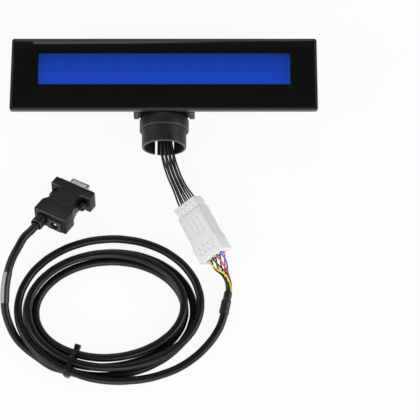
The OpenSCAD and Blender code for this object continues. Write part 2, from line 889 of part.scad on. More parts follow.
module bar(from, to, w, h) {
    translate([from, -w / 2, -h / 2]) cube([to - from, w, h]);
}

module lead_terminals() {
    color([0.8, 0.78, 0.7]) in_connector() difference() {
        cavities(wire_in, receptacle_len - 1, terminal);
        cavities(mate_from - 1, receptacle_len, mate_pin + 2 * drop_play);
    }
}

module core_terminals() {
    color([0.8, 0.78, 0.7]) in_connector() {
        cavities(mate_from, mate_to + 1, mate_pin);
        cavities(mate_to, connector_len - wire_in, terminal);
    }
}

module receptacle_housing() {
    color([0.9, 0.9, 0.9]) in_connector() difference() {
        union() {
            bar(0, receptacle_len, connector_w, connector_h);
            bar(0, lip_len, connector_w + 2 * lip_proud, connector_h + 2 * lip_proud);
            mirror([0, 0, 1]) {
                translate([latch_from, -latch_w / 2, connector_h / 2])
                    cube([lip_len - latch_from, latch_w, shroud_wall + 0.3 + latch_t]);
                translate([latch_from, -latch_w / 2, connector_h / 2 + shroud_wall + 0.3])
                    cube([latch_to - latch_from, latch_w, latch_t]);
            }
        }
        cavities(-cut, receptacle_len + cut, cavity);
        translate([notch_from, -connector_w / 2 - lip_proud - cut, -connector_h])
            cube([lip_len + cut - notch_from, lip_proud + cut, 2 * connector_h]);
    }
}

module plug_housing() {
    socket_w = connector_w + 2 * drop_play;
    socket_h = connector_h + 2 * drop_play;
    shroud_w = socket_w + 2 * shroud_wall;
    shroud_h = socket_h + 2 * shroud_wall;
    color([0.86, 0.86, 0.86]) in_connector() difference() {
        union() {
            bar(shroud_from, connector_len, shroud_w, shroud_h - 2 * drop_play);
            bar(plug_rear_from, connector_len, shroud_w + 2 * plug_rear_proud, shroud_h);
            mirror([0, 0, 1]) translate([latch_to + 0.2, -latch_w / 2, connector_h / 2 + shroud_wall - cut])
                cube([2.5, latch_w, latch_t + cut]);
        }
        bar(shroud_from - cut, plug_floor_x, socket_w, socket_h);
        cavities(plug_floor_x - cut, connector_len + cut, cavity);
    }
}

module heat_shrink() {
    cable_bore = cable_d / 2 + sleeve_play;
    wide = cable_bore + shrink_t;
    narrow = shrink_core_r + shrink_t;
    color([0.1, 0.1, 0.1]) in_shrink() rotate([-90, 0, 0]) rotate_extrude() polygon([
        [cable_bore, 0], [wide, 0],
        [wide, shrink_wide_len], [narrow, shrink_wide_len + shrink_cone_len],
        [narrow, shrink_len], [shrink_core_r, shrink_len],
        [shrink_core_r, shrink_wide_len], [cable_bore, shrink_wide_len]
    ]);
}

// Cable

module cable_right_run() {
    color([0.1, 0.1, 0.1]) in_harness() swept_tube(right_path, cable_d / 2, run_sides);
}

module cable_coil() {
    color([0.1, 0.1, 0.1]) in_harness() swept_tube(coil_path, cable_d / 2, loop_sides);
}

module cable_left_run() {
    color([0.1, 0.1, 0.1]) in_harness() swept_tube(left_path, cable_d / 2, run_sides);
}

// The strands that the tie holds, as places across the bundle and up
tie_strands = [for (k = [0 : coil_turns]) [coil_inset(0) - coil_inset(k), coil_height(k)]];

module bundle(grow) {
    hull() {
        for (p = tie_strands) {
            translate(p) circle(cable_d / 2 + grow, $fn = 32);
        }
    }
}

module cable_tie() {
    head = [3.2, 4.4, 4.6];
    inner = min([for (p = tie_strands) p[0]]) - cable_d / 2 - tie_play;
    top = max([for (p = tie_strands) p[1]]);
    at = coil_point(0);
    out = oval_normal(tie_angle);
    yaw = atan2(out[1], out[0]);
    color([0.08, 0.08, 0.08]) in_harness() translate([at[0], at[1], 0]) rotate([0, 0, yaw]) {
        rotate([90, 0, 0]) linear_extrude(tie_w, center = true) difference() {
            bundle(tie_play + tie_t);
            bundle(tie_play);
        }
        translate([inner - head[0], -head[1] / 2, top - head[2]]) cube(head);
    }
}

module cable_label() {
    route = [for (i = [label_from : label_to]) left_route[i]];
    last = len(route) - 1;
    past = concat(
        [route[0] + cut * unit(route[0] - route[1])],
        [for (i = [1 : last - 1]) route[i]],
        [route[last] + cut * unit(route[last] - route[last - 1])]
    );
    color([0.75, 0.75, 0.75]) in_harness() difference() {
        swept_tube(route, cable_d / 2 + sleeve_play + sleeve_t, run_sides);
        swept_tube(past, cable_d / 2 + sleeve_play, run_sides);
    }
}

// Plug

module tile(w, h, from, to) {
    translate([-w / 2, from, -h / 2]) cube([w, to - from, h]);
}

module hood_outline(in) {
    flange = hood_flange_w / 2 - in;
    waist = hood_waist_w / 2 - in;
    swell = waist + waist_swell;
    rear = hood_rear_w / 2 - in;
    flange_y = in - hood_flange_len;
    swell_y = -(hood_flange_len + knob_len + 2 * knob_gap);
    rear_y = in - hood_len;
    polygon([
        [-flange, -in], [-flange, flange_y], [-waist, flange_y], [-waist, swell_y], [-swell, -flare_from],
        [-rear, -flare_to], [-rear, rear_y], [rear, rear_y], [rear, -flare_to],
        [swell, -flare_from], [waist, swell_y], [waist, flange_y], [flange, flange_y], [flange, -in]
    ]);
}

module hood_body() {
    rear_in = -hood_len + hood_wall;
    window_play = 2 * block_play;
    difference() {
        union() {
            linear_extrude(hood_h) hood_outline(0);
            for (i = [0 : rib_count - 1]) {
                translate([-hood_waist_w / 3, -rib_from - i * rib_pitch, hood_h - edge_t])
                    cube([2 * hood_waist_w / 3, rib_w, edge_t + rib_proud]);
            }
        }
        // Room for the wires, open into the contact block's seat
        intersection() {
            translate([0, 0, hood_wall]) linear_extrude(hood_h - 2 * hood_wall) hood_outline(hood_wall);
            box([-hood_rear_w, -hood_len, 0], [hood_rear_w, room_lap - hood_flange_len, hood_h]);
        }
        translate([0, 0, hood_mid_z]) {
            // Seat of the contact block
            tile(block_w + 2 * block_play, block_h + 2 * block_play, -block_len, cut);
            for (side = [-1, 1]) {
                translate([side * screw_spacing / 2, 0, 0]) rod_y(screw_hole_r, -hood_flange_len - cut, cut);
            }
            translate([boot_x, 0, 0]) rod_y(boot_neck_r + block_play, -hood_len - cut, rear_in + cut);
            translate([jack_x, 0, -jack_drop])
                tile(jack_plate_w + window_play, jack_plate_h + window_play, -hood_len - cut, rear_in + cut);
        }
    }
}

module hood_top() {
    color([0.13, 0.13, 0.13]) in_plug() intersection() {
        hood_body();
        box([-hood_flange_w, -2 * hood_len, hood_mid_z], [hood_flange_w, hood_len, 2 * hood_h]);
    }
}

module hood_bottom() {
    color([0.13, 0.13, 0.13]) in_plug() intersection() {
        hood_body();
        box([-hood_flange_w, -2 * hood_len, -cut], [hood_flange_w, hood_len, hood_mid_z]);
    }
}

module d_outline(in) {
    wide = shell_w / 2 - shell_corner;
    narrow = wide - shell_slant;
    tall = shell_h / 2 - shell_corner;
    hull() {
        for (p = [[-wide, tall], [wide, tall], [narrow, -tall], [-narrow, -tall]]) {
            translate(p) circle(shell_corner - in, $fn = 24);
        }
    }
}

module d_prism(in, from, to) {
    translate([0, to, 0]) rotate([90, 0, 0]) linear_extrude(to - from) d_outline(in);
}

module d_shell() {
    color([0.75, 0.75, 0.76]) in_plug() translate([0, 0, hood_mid_z]) difference() {
        union() {
            tile(plate_w, plate_h, 0, plate_t);
            d_prism(0, plate_t / 2, plate_t + shell_reach);
        }
        d_prism(shell_sheet, -cut, plate_t + shell_reach + cut);
        for (side = [-1, 1]) {
            translate([side * screw_spacing / 2, 0, 0]) rod_y(screw_hole_r, -cut, plate_t + cut);
        }
    }
}

module at_contacts() {
    for (row = [0, 1]) {
        for (i = [0 : 4 - row]) {
            translate([(i - (4 - row) / 2) * contact_pitch, 0, contact_row * (1 - 2 * row)]) children();
        }
    }
}

module contact_block() {
    color([0.12, 0.12, 0.13]) in_plug() translate([0, 0, hood_mid_z]) difference() {
        union() {
            tile(block_w, block_h, -block_len, 0);
            d_prism(shell_sheet + block_play, -edge_t, plate_t + shell_reach - 0.4);
        }
        at_contacts() rod_y(contact_r + thread_play, -block_len - cut, plate_t + shell_reach + cut);
    }
}

module contacts() {
    front = plate_t + shell_reach - 0.8;
    color([0.85, 0.7, 0.35]) in_plug() translate([0, 0, hood_mid_z]) at_contacts() difference() {
        rod_y(contact_r, -block_len - contact_tail, front);
        rod_y(contact_bore_r, 0, front + cut);
    }
}

module jackscrew(side) {
    knob_from = -hood_flange_len - knob_gap - knob_len;
    in_plug() translate([side * screw_spacing / 2, 0, hood_mid_z]) difference() {
        union() {
            rod_y(shank_r, knob_from + cut, plate_t + cut);
            rod_y(screw_r, plate_t + drop_play, plate_t + screw_reach);
            rod_y(knob_r, knob_from, knob_from + knob_len);
        }
        for (i = [0 : knob_ribs - 1]) {
            rotate([0, 360 * i / knob_ribs, 0])
                translate([knob_r - knob_rib / 2, knob_from - cut, -knob_rib / 2])
                    cube([knob_rib, knob_len - cut, knob_rib]);
        }
        tile(2 * knob_r + 2 * cut, 2 * knob_rib, knob_from - cut, knob_from + cut);
    }
}

module jackscrew_left() {
    color([0.2, 0.2, 0.2]) jackscrew(-1);
}

module jackscrew_right() {
    color([0.2, 0.2, 0.2]) jackscrew(1);
}

module dc_jack() {
    face_y = -hood_len - jack_proud;
    color([0.16, 0.16, 0.17]) in_plug() translate([jack_x, face_y, hood_mid_z - jack_drop]) difference() {
        union() {
            tile(jack_plate_w, jack_plate_h, 0, jack_plate_t);
            tile(jack_body_w, jack_body_w, 0, jack_body_len);
        }
        rod_y(jack_r, -cut, jack_depth);
        rod_y(jack_pin_r, 0, jack_body_len + cut);
    }
}

module dc_jack_pin() {
    face_y = -hood_len - jack_proud;
    color([0.8, 0.8, 0.8]) in_plug() translate([jack_x, face_y, hood_mid_z - jack_drop])
        rod_y(jack_pin_r, jack_depth - jack_pin_len, jack_body_len);
}

module cable_boot() {
    color([0.1, 0.1, 0.1]) in_plug() translate([boot_x, 0, hood_mid_z]) difference() {
        union() {
            rod_y(boot_r, boot_end, -hood_len);
            rod_y(boot_neck_r, -hood_len, -hood_len + hood_wall);
            rod_y(boot_r, -hood_len + hood_wall, boot_inner);
        }
        rod_y(boot_bore_r, boot_end - cut, boot_inner + cut);
    }
}

front_bezel();
front_lens();
lcd_gasket();
lcd_frame();
lcd_glass();
lcd_backlight();
lcd_board();
lcd_screws();
board_header();
controller_board();
controller_chips();
capacitors();
controller_screws();
wire_header();
board_leads();
rear_housing();
housing_screws();
neck();
pivot_pins();
friction_washers();
lead_wires();
lead_terminals();
receptacle_housing();
plug_housing();
core_terminals();
core_wires();
heat_shrink();
cable_right_run();
cable_coil();
cable_left_run();
cable_tie();
cable_label();
cable_boot();
hood_top();
hood_bottom();
d_shell();
contact_block();
contacts();
jackscrew_left();
jackscrew_right();
dc_jack();
dc_jack_pin();
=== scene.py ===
import math

import bmesh
import bpy
from mathutils import Matrix, Vector


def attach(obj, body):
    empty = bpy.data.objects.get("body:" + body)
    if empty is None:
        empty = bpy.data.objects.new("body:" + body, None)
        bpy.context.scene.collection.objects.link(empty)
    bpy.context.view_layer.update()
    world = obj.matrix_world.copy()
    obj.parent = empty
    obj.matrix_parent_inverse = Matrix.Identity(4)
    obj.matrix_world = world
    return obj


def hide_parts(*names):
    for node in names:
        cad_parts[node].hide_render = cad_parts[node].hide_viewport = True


bl_info = {
    "name": "Customer pole display",
    "version": (1, 0, 0),
    "blender": (4, 5, 0),
    "location": "View3D > Sidebar > Pole display",
    "description": "Models a customer pole display, its wire harness and its coiled serial cable",
    "category": "Object",
}

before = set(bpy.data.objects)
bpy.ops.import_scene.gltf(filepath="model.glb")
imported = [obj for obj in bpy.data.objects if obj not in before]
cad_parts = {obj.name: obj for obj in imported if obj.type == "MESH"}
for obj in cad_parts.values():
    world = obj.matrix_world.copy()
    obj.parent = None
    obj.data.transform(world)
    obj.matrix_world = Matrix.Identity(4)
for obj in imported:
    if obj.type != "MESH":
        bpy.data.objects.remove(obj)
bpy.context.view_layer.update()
MM = 0.001


def span(at, half):
    """Where a stretch begins and ends, from its middle and half its length."""
    return (at - half, at + half)


# Places in the row frame, in millimetres
FACE_W = 230.0
FACE_H = 58.0
FACE_LOW_Y = -17.35
FACE_HIGH_Y = FACE_LOW_Y + FACE_H
FACE_MID_Y = FACE_LOW_Y + FACE_H / 2
FACE_Z = 38.0
RIM_W = 1.8
BEZEL_BACK_Z = FACE_Z - 4.5
LENS_BACK_Z = FACE_Z - 2.4
LENS_TOP_Z = FACE_Z - 0.4
DISPLAY_Y = FACE_MID_Y + 4.9
WINDOW_X = span(0.0, 94.8)
WINDOW_Y = span(DISPLAY_Y, 13.2)
BACK_MID_Y = 16.4
PIVOT_Y = FACE_LOW_Y + 6.5
AXIS_Z = 18.9
LUG_R = 6.0
LUG_REACH = 24.0
PIN_R = 2.5
PIN_PLAY = 0.06
COLLAR_TOP_Y = FACE_LOW_Y - 1.2
COLLAR_H = 8.8
SPIGOT_END_Y = COLLAR_TOP_Y - 22.1
HARNESS = Vector((0.0, SPIGOT_END_Y, 0.0))

# Places in the harness frame, whose origin is on the floor under the spigot's end
CONNECTOR_REAR_AT = Vector((39.0, -83.0, 12.2))
CONNECTOR_YAW = math.radians(-63.0)
CONNECTOR_ROLL = math.radians(37.0)
CONNECTOR_LEN = 46.4
CONNECTOR_WAY = Vector((math.cos(CONNECTOR_YAW), math.sin(CONNECTOR_YAW), 0.0))
CONNECTOR_AT = CONNECTOR_REAR_AT - CONNECTOR_LEN * CONNECTOR_WAY
SHRINK_AT = (44.6, -124.5, 3.75)
SHRINK_YAW = math.radians(-12.0)
SHRINK_LEN = 17.0
CABLE_IN = 8.5
PLUG_YAW = math.radians(-30.0)
PLUG_LEAN = math.radians(24.5)
PLUG_MID_Z = 7.5
FLANGE_HALF_W = 17.2
# The leaning plug is lifted until the low corner of its flange is on the floor
PLUG_LIFT = FLANGE_HALF_W * math.sin(-PLUG_YAW) * math.sin(PLUG_LEAN)
PLUG_AT = (-65.6, -34.2, PLUG_LIFT)
SCREW_X = 12.5
SCREW_HOLE_R = 1.75
JACK_X = 4.6
JACK_Z = 6.3
JACK_FACE = -37.5
JACK_HALF_W = 6.0
JACK_HALF_H = 4.8
BOOT_X = -6.6
BOOT_END = -44.0
BOOT_INNER = -32.1

# The wires
WIRES = 8
COLUMNS = 4
TERMINAL_PITCH = 4.2
ROW_PITCH = 2.0
WIRE_IN = 4.0
WIRE_OUT = 0.5
LEAD_GAP = 0.4
LEAD_ROUTE = ((1, 12, 14.5), (2, 1, 11.5), (5.5, -13, 9.5), (11.5, -28, 9.5))
LEAD_SPREAD = (2.6, 2.9, 3.1, 3.2)
LEAD_TURN = (0, 12, 37, 37)
CORE_ROUTE = ((42, -88.5, 8.5), (45.5, -94.5, 6), (48, -101, 4.4))
CORE_MIX = (0.35, 0.75, 1)
CORE_RING = (2.3, 2.1, 1.9)
CORE_TURN = (-10, -55, -95)
CORE_TURN_END = -130
CORE_RING_R = 1.75

# The cable
CABLE_D = 6.0
LEFT_ROUTE = (
    (-101.2, -73.3, 28.6), (-105.5, -81.2, 28.4), (-109.6, -88.6, 26.2), (-113, -98.4, 23),
    (-114.5, -105.9, 20.5), (-115.1, -111.5, 18.3), (-115.4, -119.4, 15.2), (-114.6, -126.3, 12.4),
    (-111.9, -134.6, 9), (-107.2, -143.2, 5.6), (-100.4, -150.2, 3.8), (-91.5, -157, 3.5),
)
LABEL_FROM = 3
LABEL_TO = 6
RIGHT_ROUTE = (
    (-46.5, -175.5, 10.5), (-35, -176.3, 8.8), (-23, -175.5, 6.9), (-11, -173.5, 5), (0.5, -170, 3.7),
    (12, -165, 3), (22.5, -158, 3), (31.5, -149.5, 3), (39, -139.5, 3.2),
)
COIL_MID = (-39.5, -124.2)
COIL_TURNS = 4
COIL_HALF_W = 66.5
COIL_HALF_H = 50.5
COIL_PITCH = 6.7
COIL_RISE = 6.7
COIL_FAN = 6.0
COIL_FLAT = 4.0
TIE_ANGLE = 244.0
FAN_ANGLE = 40.0
FLAT_ANGLE = 312.0
TIE_T = 1.3
TIE_W = 3.6
TIE_PLAY = 0.5
TIE_LIFT = TIE_T + TIE_PLAY + 0.05
LOOP_RINGS = 24


def place_in_harness(at, yaw, roll=0.0, lean=0.0):
    """The matrix, in metres, of a frame that lies in the harness."""
    return (
        Matrix.Translation((Vector(at) + HARNESS) * MM)
        @ Matrix.Rotation(-lean, 4, "X")
        @ Matrix.Rotation(yaw, 4, "Z")
        @ Matrix.Rotation(roll, 4, "X")
    )


def shifted(x, y, z):
    """The matrix of a move in millimetres."""
    return Matrix.Translation(Vector((x, y, z)) * MM)


IN_CONNECTOR = place_in_harness(CONNECTOR_AT, CONNECTOR_YAW, CONNECTOR_ROLL)
IN_SHRINK = place_in_harness(SHRINK_AT, SHRINK_YAW)
IN_PLUG = place_in_harness(PLUG_AT, PLUG_YAW, lean=PLUG_LEAN)
# What is turned about Z, laid along Y
ALONG_Y = Matrix.Rotation(-math.pi / 2, 4, "X")


# Routes of the wires and the cable, as in the part's source

def smooth(k):
    """A step from 0 to 1 that starts and ends level."""
    c = max(0.0, min(1.0, k))
    return c * c * (3 - 2 * c)


def turned_2d(p, angle):
    c, s = math.cos(math.radians(angle)), math.sin(math.radians(angle))
    return (p[0] * c - p[1] * s, p[0] * s + p[1] * c)


def connector_point(x, y, z):
    return IN_CONNECTOR @ (Vector((x, y, z)) * MM)


def shrink_point(y):
    return IN_SHRINK @ (Vector((0, y, 0)) * MM)


def plug_point(x, y, z):
    return IN_PLUG @ (Vector((x, y, z)) * MM)


def harness_point(p):
    return (Vector(p) + HARNESS) * MM


def heading(route, i):
    """The way that a route runs at one of its points."""
    return (route[min(i + 1, len(route) - 1)] - route[max(i - 1, 0)]).normalized()


def section_point(at, way, p):
    """A place in the section of a bundle that runs along a way."""
    side = Vector((0, 0, 1)).cross(way).normalized()
    return at + (p[0] * side + p[1] * way.cross(side)) * MM


def wire_column(i):
    return i if i < COLUMNS else WIRES - 1 - i


def wire_row(i):
    return 0 if i < COLUMNS else 1


def grid_place(i, pitch):
    """A wire's place in two rows, counted round them."""
    return ((wire_column(i) - (COLUMNS - 1) / 2) * pitch, (wire_row(i) - 0.5) * pitch)


def row_place(i):
    """A wire's place in one row, where the two rows take turns."""
    return (2 * wire_column(i) + wire_row(i) - (WIRES - 1) / 2) * ROW_PITCH


def ring_place(i, r):
    angle = 2 * math.pi * (i + 0.5) / WIRES
    return (-r * math.cos(angle), -r * math.sin(angle))


def lead_points(i):
    """A lead's way from the tilt axis, through the neck, into its cavity of the connector."""
    start = Vector((0, PIVOT_Y, AXIS_Z)) * MM
    bundle = [start, *[harness_point(p) for p in LEAD_ROUTE], connector_point(0, 0, 0)]
    points = [Vector((row_place(i), PIVOT_Y - LEAD_GAP, AXIS_Z)) * MM]
    for k, pitch in enumerate(LEAD_SPREAD, 1):
        place = turned_2d(grid_place(i, pitch), LEAD_TURN[k - 1])
        points.append(section_point(bundle[k], heading(bundle, k), place))
    for x in (-WIRE_OUT, WIRE_IN):
        points.append(connector_point(x, *grid_place(i, TERMINAL_PITCH)))
    return points


def core_points(i):
    """A core's way from its cavity into the sleeve, twisting round the bundle."""
    start, end = connector_point(CONNECTOR_LEN, 0, 0), shrink_point(SHRINK_LEN)
    bundle = [start, *[harness_point(p) for p in CORE_ROUTE], end]
    grid = grid_place(i, TERMINAL_PITCH)
    points = [connector_point(CONNECTOR_LEN + x, *grid) for x in (-WIRE_IN, WIRE_OUT)]
    for k, mix in enumerate(CORE_MIX, 1):
        place = [a * (1 - mix) + b * mix for a, b in zip(grid, ring_place(i, CORE_RING[k - 1]))]
        points.append(section_point(bundle[k], heading(bundle, k), turned_2d(place, CORE_TURN[k - 1])))
    way = (shrink_point(0) - shrink_point(1)).normalized()
    for y in (SHRINK_LEN + WIRE_OUT, CABLE_IN + 1):
        place = turned_2d(ring_place(i, CORE_RING_R), CORE_TURN_END)
        points.append(section_point(shrink_point(y), way, place))
    return points


def coil_angle(t):
    """The angle round the coil after a number of turns from the tie."""
    return math.radians(TIE_ANGLE + 360 * t)


def facing(t, angle):
    """1 where the coil passes an angle, and 0 opposite it."""
    return (1 + math.cos(coil_angle(t) - math.radians(angle))) / 2


def coil_inset(t):
    return (
        min(t, COIL_TURNS - t) * COIL_PITCH
        + COIL_FLAT * facing(t, FLAT_ANGLE) ** 3
        - COIL_FAN * max(0.0, t - COIL_TURNS / 2) * facing(t, FAN_ANGLE)
    )


def coil_height(t):
    """The first turns lie on the floor, lifted over the tie, and the others on them."""
    lift = TIE_LIFT * facing(t, TIE_ANGLE) ** 4
    return CABLE_D / 2 + lift + COIL_RISE * smooth(2 * (t - COIL_TURNS / 2) + 0.5)


def oval_normal(t):
    return Vector((math.cos(coil_angle(t)) / COIL_HALF_W, math.sin(coil_angle(t)) / COIL_HALF_H)).normalized()


def coil_point(t):
    reach = Vector((COIL_HALF_W * math.cos(coil_angle(t)), COIL_HALF_H * math.sin(coil_angle(t))))
    flat = Vector(COIL_MID) + reach - coil_inset(t) * oval_normal(t)
    return Vector((*flat, coil_height(t)))


def coil_way(t, step=0.01):
    return (coil_point(t + step) - coil_point(t - step)).normalized()


def cable_points():
    """The cable's whole way, from the sleeve at its end, round the coil, into the plug's boot."""
    into, out = CABLE_D * coil_way(0), CABLE_D * coil_way(COIL_TURNS)
    coil = [coil_point(i / LOOP_RINGS) for i in range(COIL_TURNS * LOOP_RINGS + 1)]
    laid = [
        *LEFT_ROUTE, coil[0] - 2 * into, coil[0] - into,
        *coil,
        coil[-1] + out, coil[-1] + 2 * out, *RIGHT_ROUTE,
    ]
    points = [
        plug_point(BOOT_X, BOOT_INNER, PLUG_MID_Z),
        plug_point(BOOT_X, BOOT_END - CABLE_D, PLUG_MID_Z),
        *[harness_point(p) for p in laid],
        shrink_point(-CABLE_D),
        shrink_point(CABLE_IN),
    ]
    return points[::-1]


def run_length(points):
    return sum((b - a).length for a, b in zip(points, points[1:]))


# Modelling by hand, in code

# Faces that meet at less than this are shaded as one surface
SMOOTH_ANGLE = math.radians(35.0)


def rest_all():
    """Leave edit mode and deselect everything."""
    if bpy.context.mode != "OBJECT":
        done()
    bpy.ops.object.select_all(action="DESELECT")


def activate(piece):
    rest_all()
    piece.select_set(True)
    bpy.context.view_layer.objects.active = piece


def begin(name):
    """The primitive that was just added, under its own name and with its place in its mesh."""
    piece = bpy.context.object
    piece.name = piece.data.name = name
    bpy.ops.object.transform_apply(location=True, rotation=True, scale=True)
    return piece


def block(name, x, y, z):
    """A box, from where it begins and ends along each axis, in millimetres."""
    rest_all()
    low, high = (Vector(corner) * MM for corner in zip(x, y, z))
    bpy.ops.mesh.primitive_cube_add(size=1, location=(low + high) / 2, scale=high - low)
    return begin(name)


def rod(name, radius, start, end, sides=48):
    """A capped cylinder between two points, in millimetres."""
    rest_all()
    start, end = Vector(start) * MM, Vector(end) * MM
    way = end - start
    turn = Vector((0, 0, 1)).rotation_difference(way).to_euler()
    bpy.ops.mesh.primitive_cylinder_add(
        vertices=sides, radius=radius * MM, depth=way.length, location=(start + end) / 2, rotation=turn
    )
    return begin(name)


def edit(piece):
    activate(piece)
    bpy.ops.object.mode_set(mode="EDIT")


def done():
    bpy.ops.object.mode_set(mode="OBJECT")


def pick(piece, kind, test):
    """Select, in edit mode, the vertices, edges or faces that pass a test."""
    bpy.ops.mesh.select_mode(type=kind)
    bpy.ops.mesh.select_all(action="DESELECT")
    shape = bmesh.from_edit_mesh(piece.data)
    items = {"VERT": shape.verts, "EDGE": shape.edges, "FACE": shape.faces}[kind]
    found = [item for item in items if test(item)]
    if not found:
        raise RuntimeError(f"{piece.name}: nothing to select")
    for item in found:
        item.select_set(True)
    shape.select_flush_mode()
    bmesh.update_edit_mesh(piece.data)


def middle(item):
    """The middle of an edge or face, in millimetres."""
    return sum((v.co for v in item.verts), Vector()) / len(item.verts) / MM


def runs_along(edge, axis):
    way = (edge.verts[1].co - edge.verts[0].co).normalized()
    return abs(way[axis]) > 0.9


def upright(edge):
    return runs_along(edge, 2)


def looks_up(face):
    return face.normal.z > 0.9


def at_height(edge, height):
    return all(abs(v.co.z / MM - height) < 0.01 for v in edge.verts)


def sharp(edge, angle=30):
    return len(edge.link_faces) == 2 and edge.calc_face_angle(0) > math.radians(angle)


def soften(piece, width, segments, test):
    """Round the edges that pass a test, by a width in millimetres in so many segments."""
    edit(piece)
    pick(piece, "EDGE", test)
    bpy.ops.mesh.bevel(
        offset=width * MM, segments=segments, profile=0.5, affect="EDGES", clamp_overlap=False
    )
    done()


def pull(x, y, z):
    """Extrude what is selected by so many millimetres."""
    bpy.ops.mesh.extrude_region_move(TRANSFORM_OT_translate={"value": (x * MM, y * MM, z * MM)})


def fatten(amount):
    """Extrude what is selected along its normals."""
    bpy.ops.mesh.extrude_region_shrink_fatten(TRANSFORM_OT_shrink_fatten={"value": amount * MM})


def spread(across, along=1.0, about=(0, 0, 0)):
    """Resize what is selected along X and Y, about a place in millimetres."""
    bpy.ops.transform.resize(value=(across, along, 1), center_override=Vector(about) * MM)


def bisect(piece, cuts):
    """Cut new edges round a piece where planes (axis, place in millimetres) cross it."""
    edit(piece)
    for axis, at in cuts:
        bpy.ops.mesh.select_all(action="SELECT")
        point, way = [0.0] * 3, [0.0] * 3
        point[axis], way[axis] = at * MM, 1.0
        bpy.ops.mesh.bisect(plane_co=point, plane_no=way)
    done()


def modify(piece, kind, **choices):
    """Add a modifier with its choices and apply it."""
    step = piece.modifiers.new(kind.lower(), kind)
    for key, value in choices.items():
        setattr(step, key, value)
    activate(piece)
    bpy.ops.object.modifier_apply(modifier=step.name)


def discard(piece):
    mesh = piece.data
    bpy.data.objects.remove(piece)
    bpy.data.meshes.remove(mesh)


def carve(piece, tool, operation="DIFFERENCE"):
    """Cut a tool out of a piece."""
    modify(piece, "BOOLEAN", operation=operation, object=tool, solver="EXACT")
    discard(tool)
    if not piece.data.polygons:
        raise RuntimeError(f"nothing is left of {piece.name}")


def unite(piece, tool):
    """Grow a tool onto a piece."""
    carve(piece, tool, "UNION")


def join(first, *others):
    """Several shapes as one piece."""
    activate(first)
    for piece in others:
        piece.select_set(True)
    bpy.ops.object.join()
    return first


def copied(piece, name):
    """A copy of a piece, with its own mesh."""
    activate(piece)
    bpy.ops.object.duplicate()
    copy = bpy.context.object
    copy.name = copy.data.name = name
    return copy


def turned(name, profile, sides, closed=False):
    """A piece turned about Z: a ring extruded and resized along (radius, height), in millimetres."""
    rest_all()
    radius, height = profile[0]
    bpy.ops.mesh.primitive_circle_add(vertices=sides, radius=radius * MM, location=(0, 0, height * MM))
    piece = begin(name)
    edit(piece)
    bpy.ops.mesh.select_all(action="SELECT")
    if not closed:
        bpy.ops.mesh.edge_face_add()
    for next_radius, next_height in profile[1:]:
        pull(0, 0, next_height - height)
        spread(next_radius / radius, next_radius / radius, (0, 0, next_height))
        radius, height = next_radius, next_height
    bpy.ops.mesh.select_all(action="SELECT")
    bpy.ops.mesh.remove_doubles(threshold=1e-6)
    bpy.ops.mesh.normals_make_consistent(inside=False)
    done()
    return piece


def lug(name, side, x, root_y, end_y, corner, edge):
    """A hinge lug on one side of the neck, with its end rounded about the tilt axis."""
    way = math.copysign(1, end_y - root_y)
    piece = block(name, sorted(side * at for at in x), sorted((root_y, end_y)), span(AXIS_Z, LUG_R))
    soften(piece, corner, 10, lambda e: runs_along(e, 0) and (middle(e).y - end_y) * way > -1)
    soften(piece, edge, 2, lambda e: sharp(e, 60) and (middle(e).y - root_y) * way > 1)
    return piece


def pin_bore(radius):
    """The bore of the tilt axis, as a tool."""
    return rod("pin_bore", radius, (-LUG_REACH, PIVOT_Y, AXIS_Z), (LUG_REACH, PIVOT_Y, AXIS_Z))


def put(piece, matrix):
    """Move a piece to its frame and leave its place in its mesh."""
    piece.matrix_world = matrix
    activate(piece)
    bpy.ops.object.transform_apply(location=True, rotation=True, scale=True)


def new_curve(name, dimensions, kind, count):
    """A piece that is a curve, and its one spline of so many points."""
    line = bpy.data.curves.new(name, "CURVE")
    line.dimensions = dimensions
    spline = line.splines.new(kind)
    points = spline.bezier_points if kind == "BEZIER" else spline.points
    points.add(count - 1)
    piece = bpy.data.objects.new(name, line)
    bpy.context.scene.collection.objects.link(piece)
    return piece, spline


def tube(name, points, diameter, resolution):
    """A round cord on one smooth curve through its points."""
    piece, spline = new_curve(name, "3D", "BEZIER", len(points))
    line = piece.data
    line.bevel_depth = diameter * MM / 2
    line.bevel_resolution = resolution
    line.resolution_u = 6
    line.use_fill_caps = True
    for knot, at in zip(spline.bezier_points, points):
        knot.co = at
        knot.handle_left_type = knot.handle_right_type = "AUTO"
    return piece


def meshed(curve):
    """A curve made a mesh."""
    activate(curve)
    bpy.ops.object.convert(target="MESH")
    return bpy.context.object


def complete(piece, body, slot, finishes, *nodes):
    """Give a piece its shading and its finishes, and say what it rides on and stands for."""
    activate(piece)
    if piece.type == "MESH":
        bpy.ops.object.shade_smooth_by_angle(angle=SMOOTH_ANGLE)
    piece.data.materials.clear()
    for material in finishes:
        piece.data.materials.append(material)
    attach(piece, body)
    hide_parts(*nodes)


def finish_faces(piece, test):
    """Give the faces that pass a test the second finish of their piece."""
    for face in piece.data.polygons:
        face.material_index = int(test(face))


def refinish(material, *nodes):
    """Give CAD nodes that stay their finish."""
    for node in nodes:
        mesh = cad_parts[node].data
        mesh.materials.clear()
        mesh.materials.append(material)


# Finishes

WHITE = (1, 1, 1, 1)
ACRYLIC_IOR = 1.49
# Patches of slightly different colour, per metre
DRIFT_SCALE = 70.0


def add(tree, kind, inputs=None, **choices):
    """A shader node with its choices, and its inputs as constants or as outputs of other nodes."""
    node = tree.nodes.new(kind)
    for key, value in choices.items():
        setattr(node, key, value)
    for key, value in (inputs or {}).items():
        if isinstance(value, bpy.types.NodeSocket):
            tree.links.new(value, node.inputs[key])
        else:
            node.inputs[key].default_value = value
    return node


def blank(name):
    """A new material without nodes, and its tree."""
    material = bpy.data.materials.new(name)
    material.use_nodes = True
    material.node_tree.nodes.clear()
    return material, material.node_tree


def show(tree, surface):
    add(tree, "ShaderNodeOutputMaterial", {"Surface": surface})


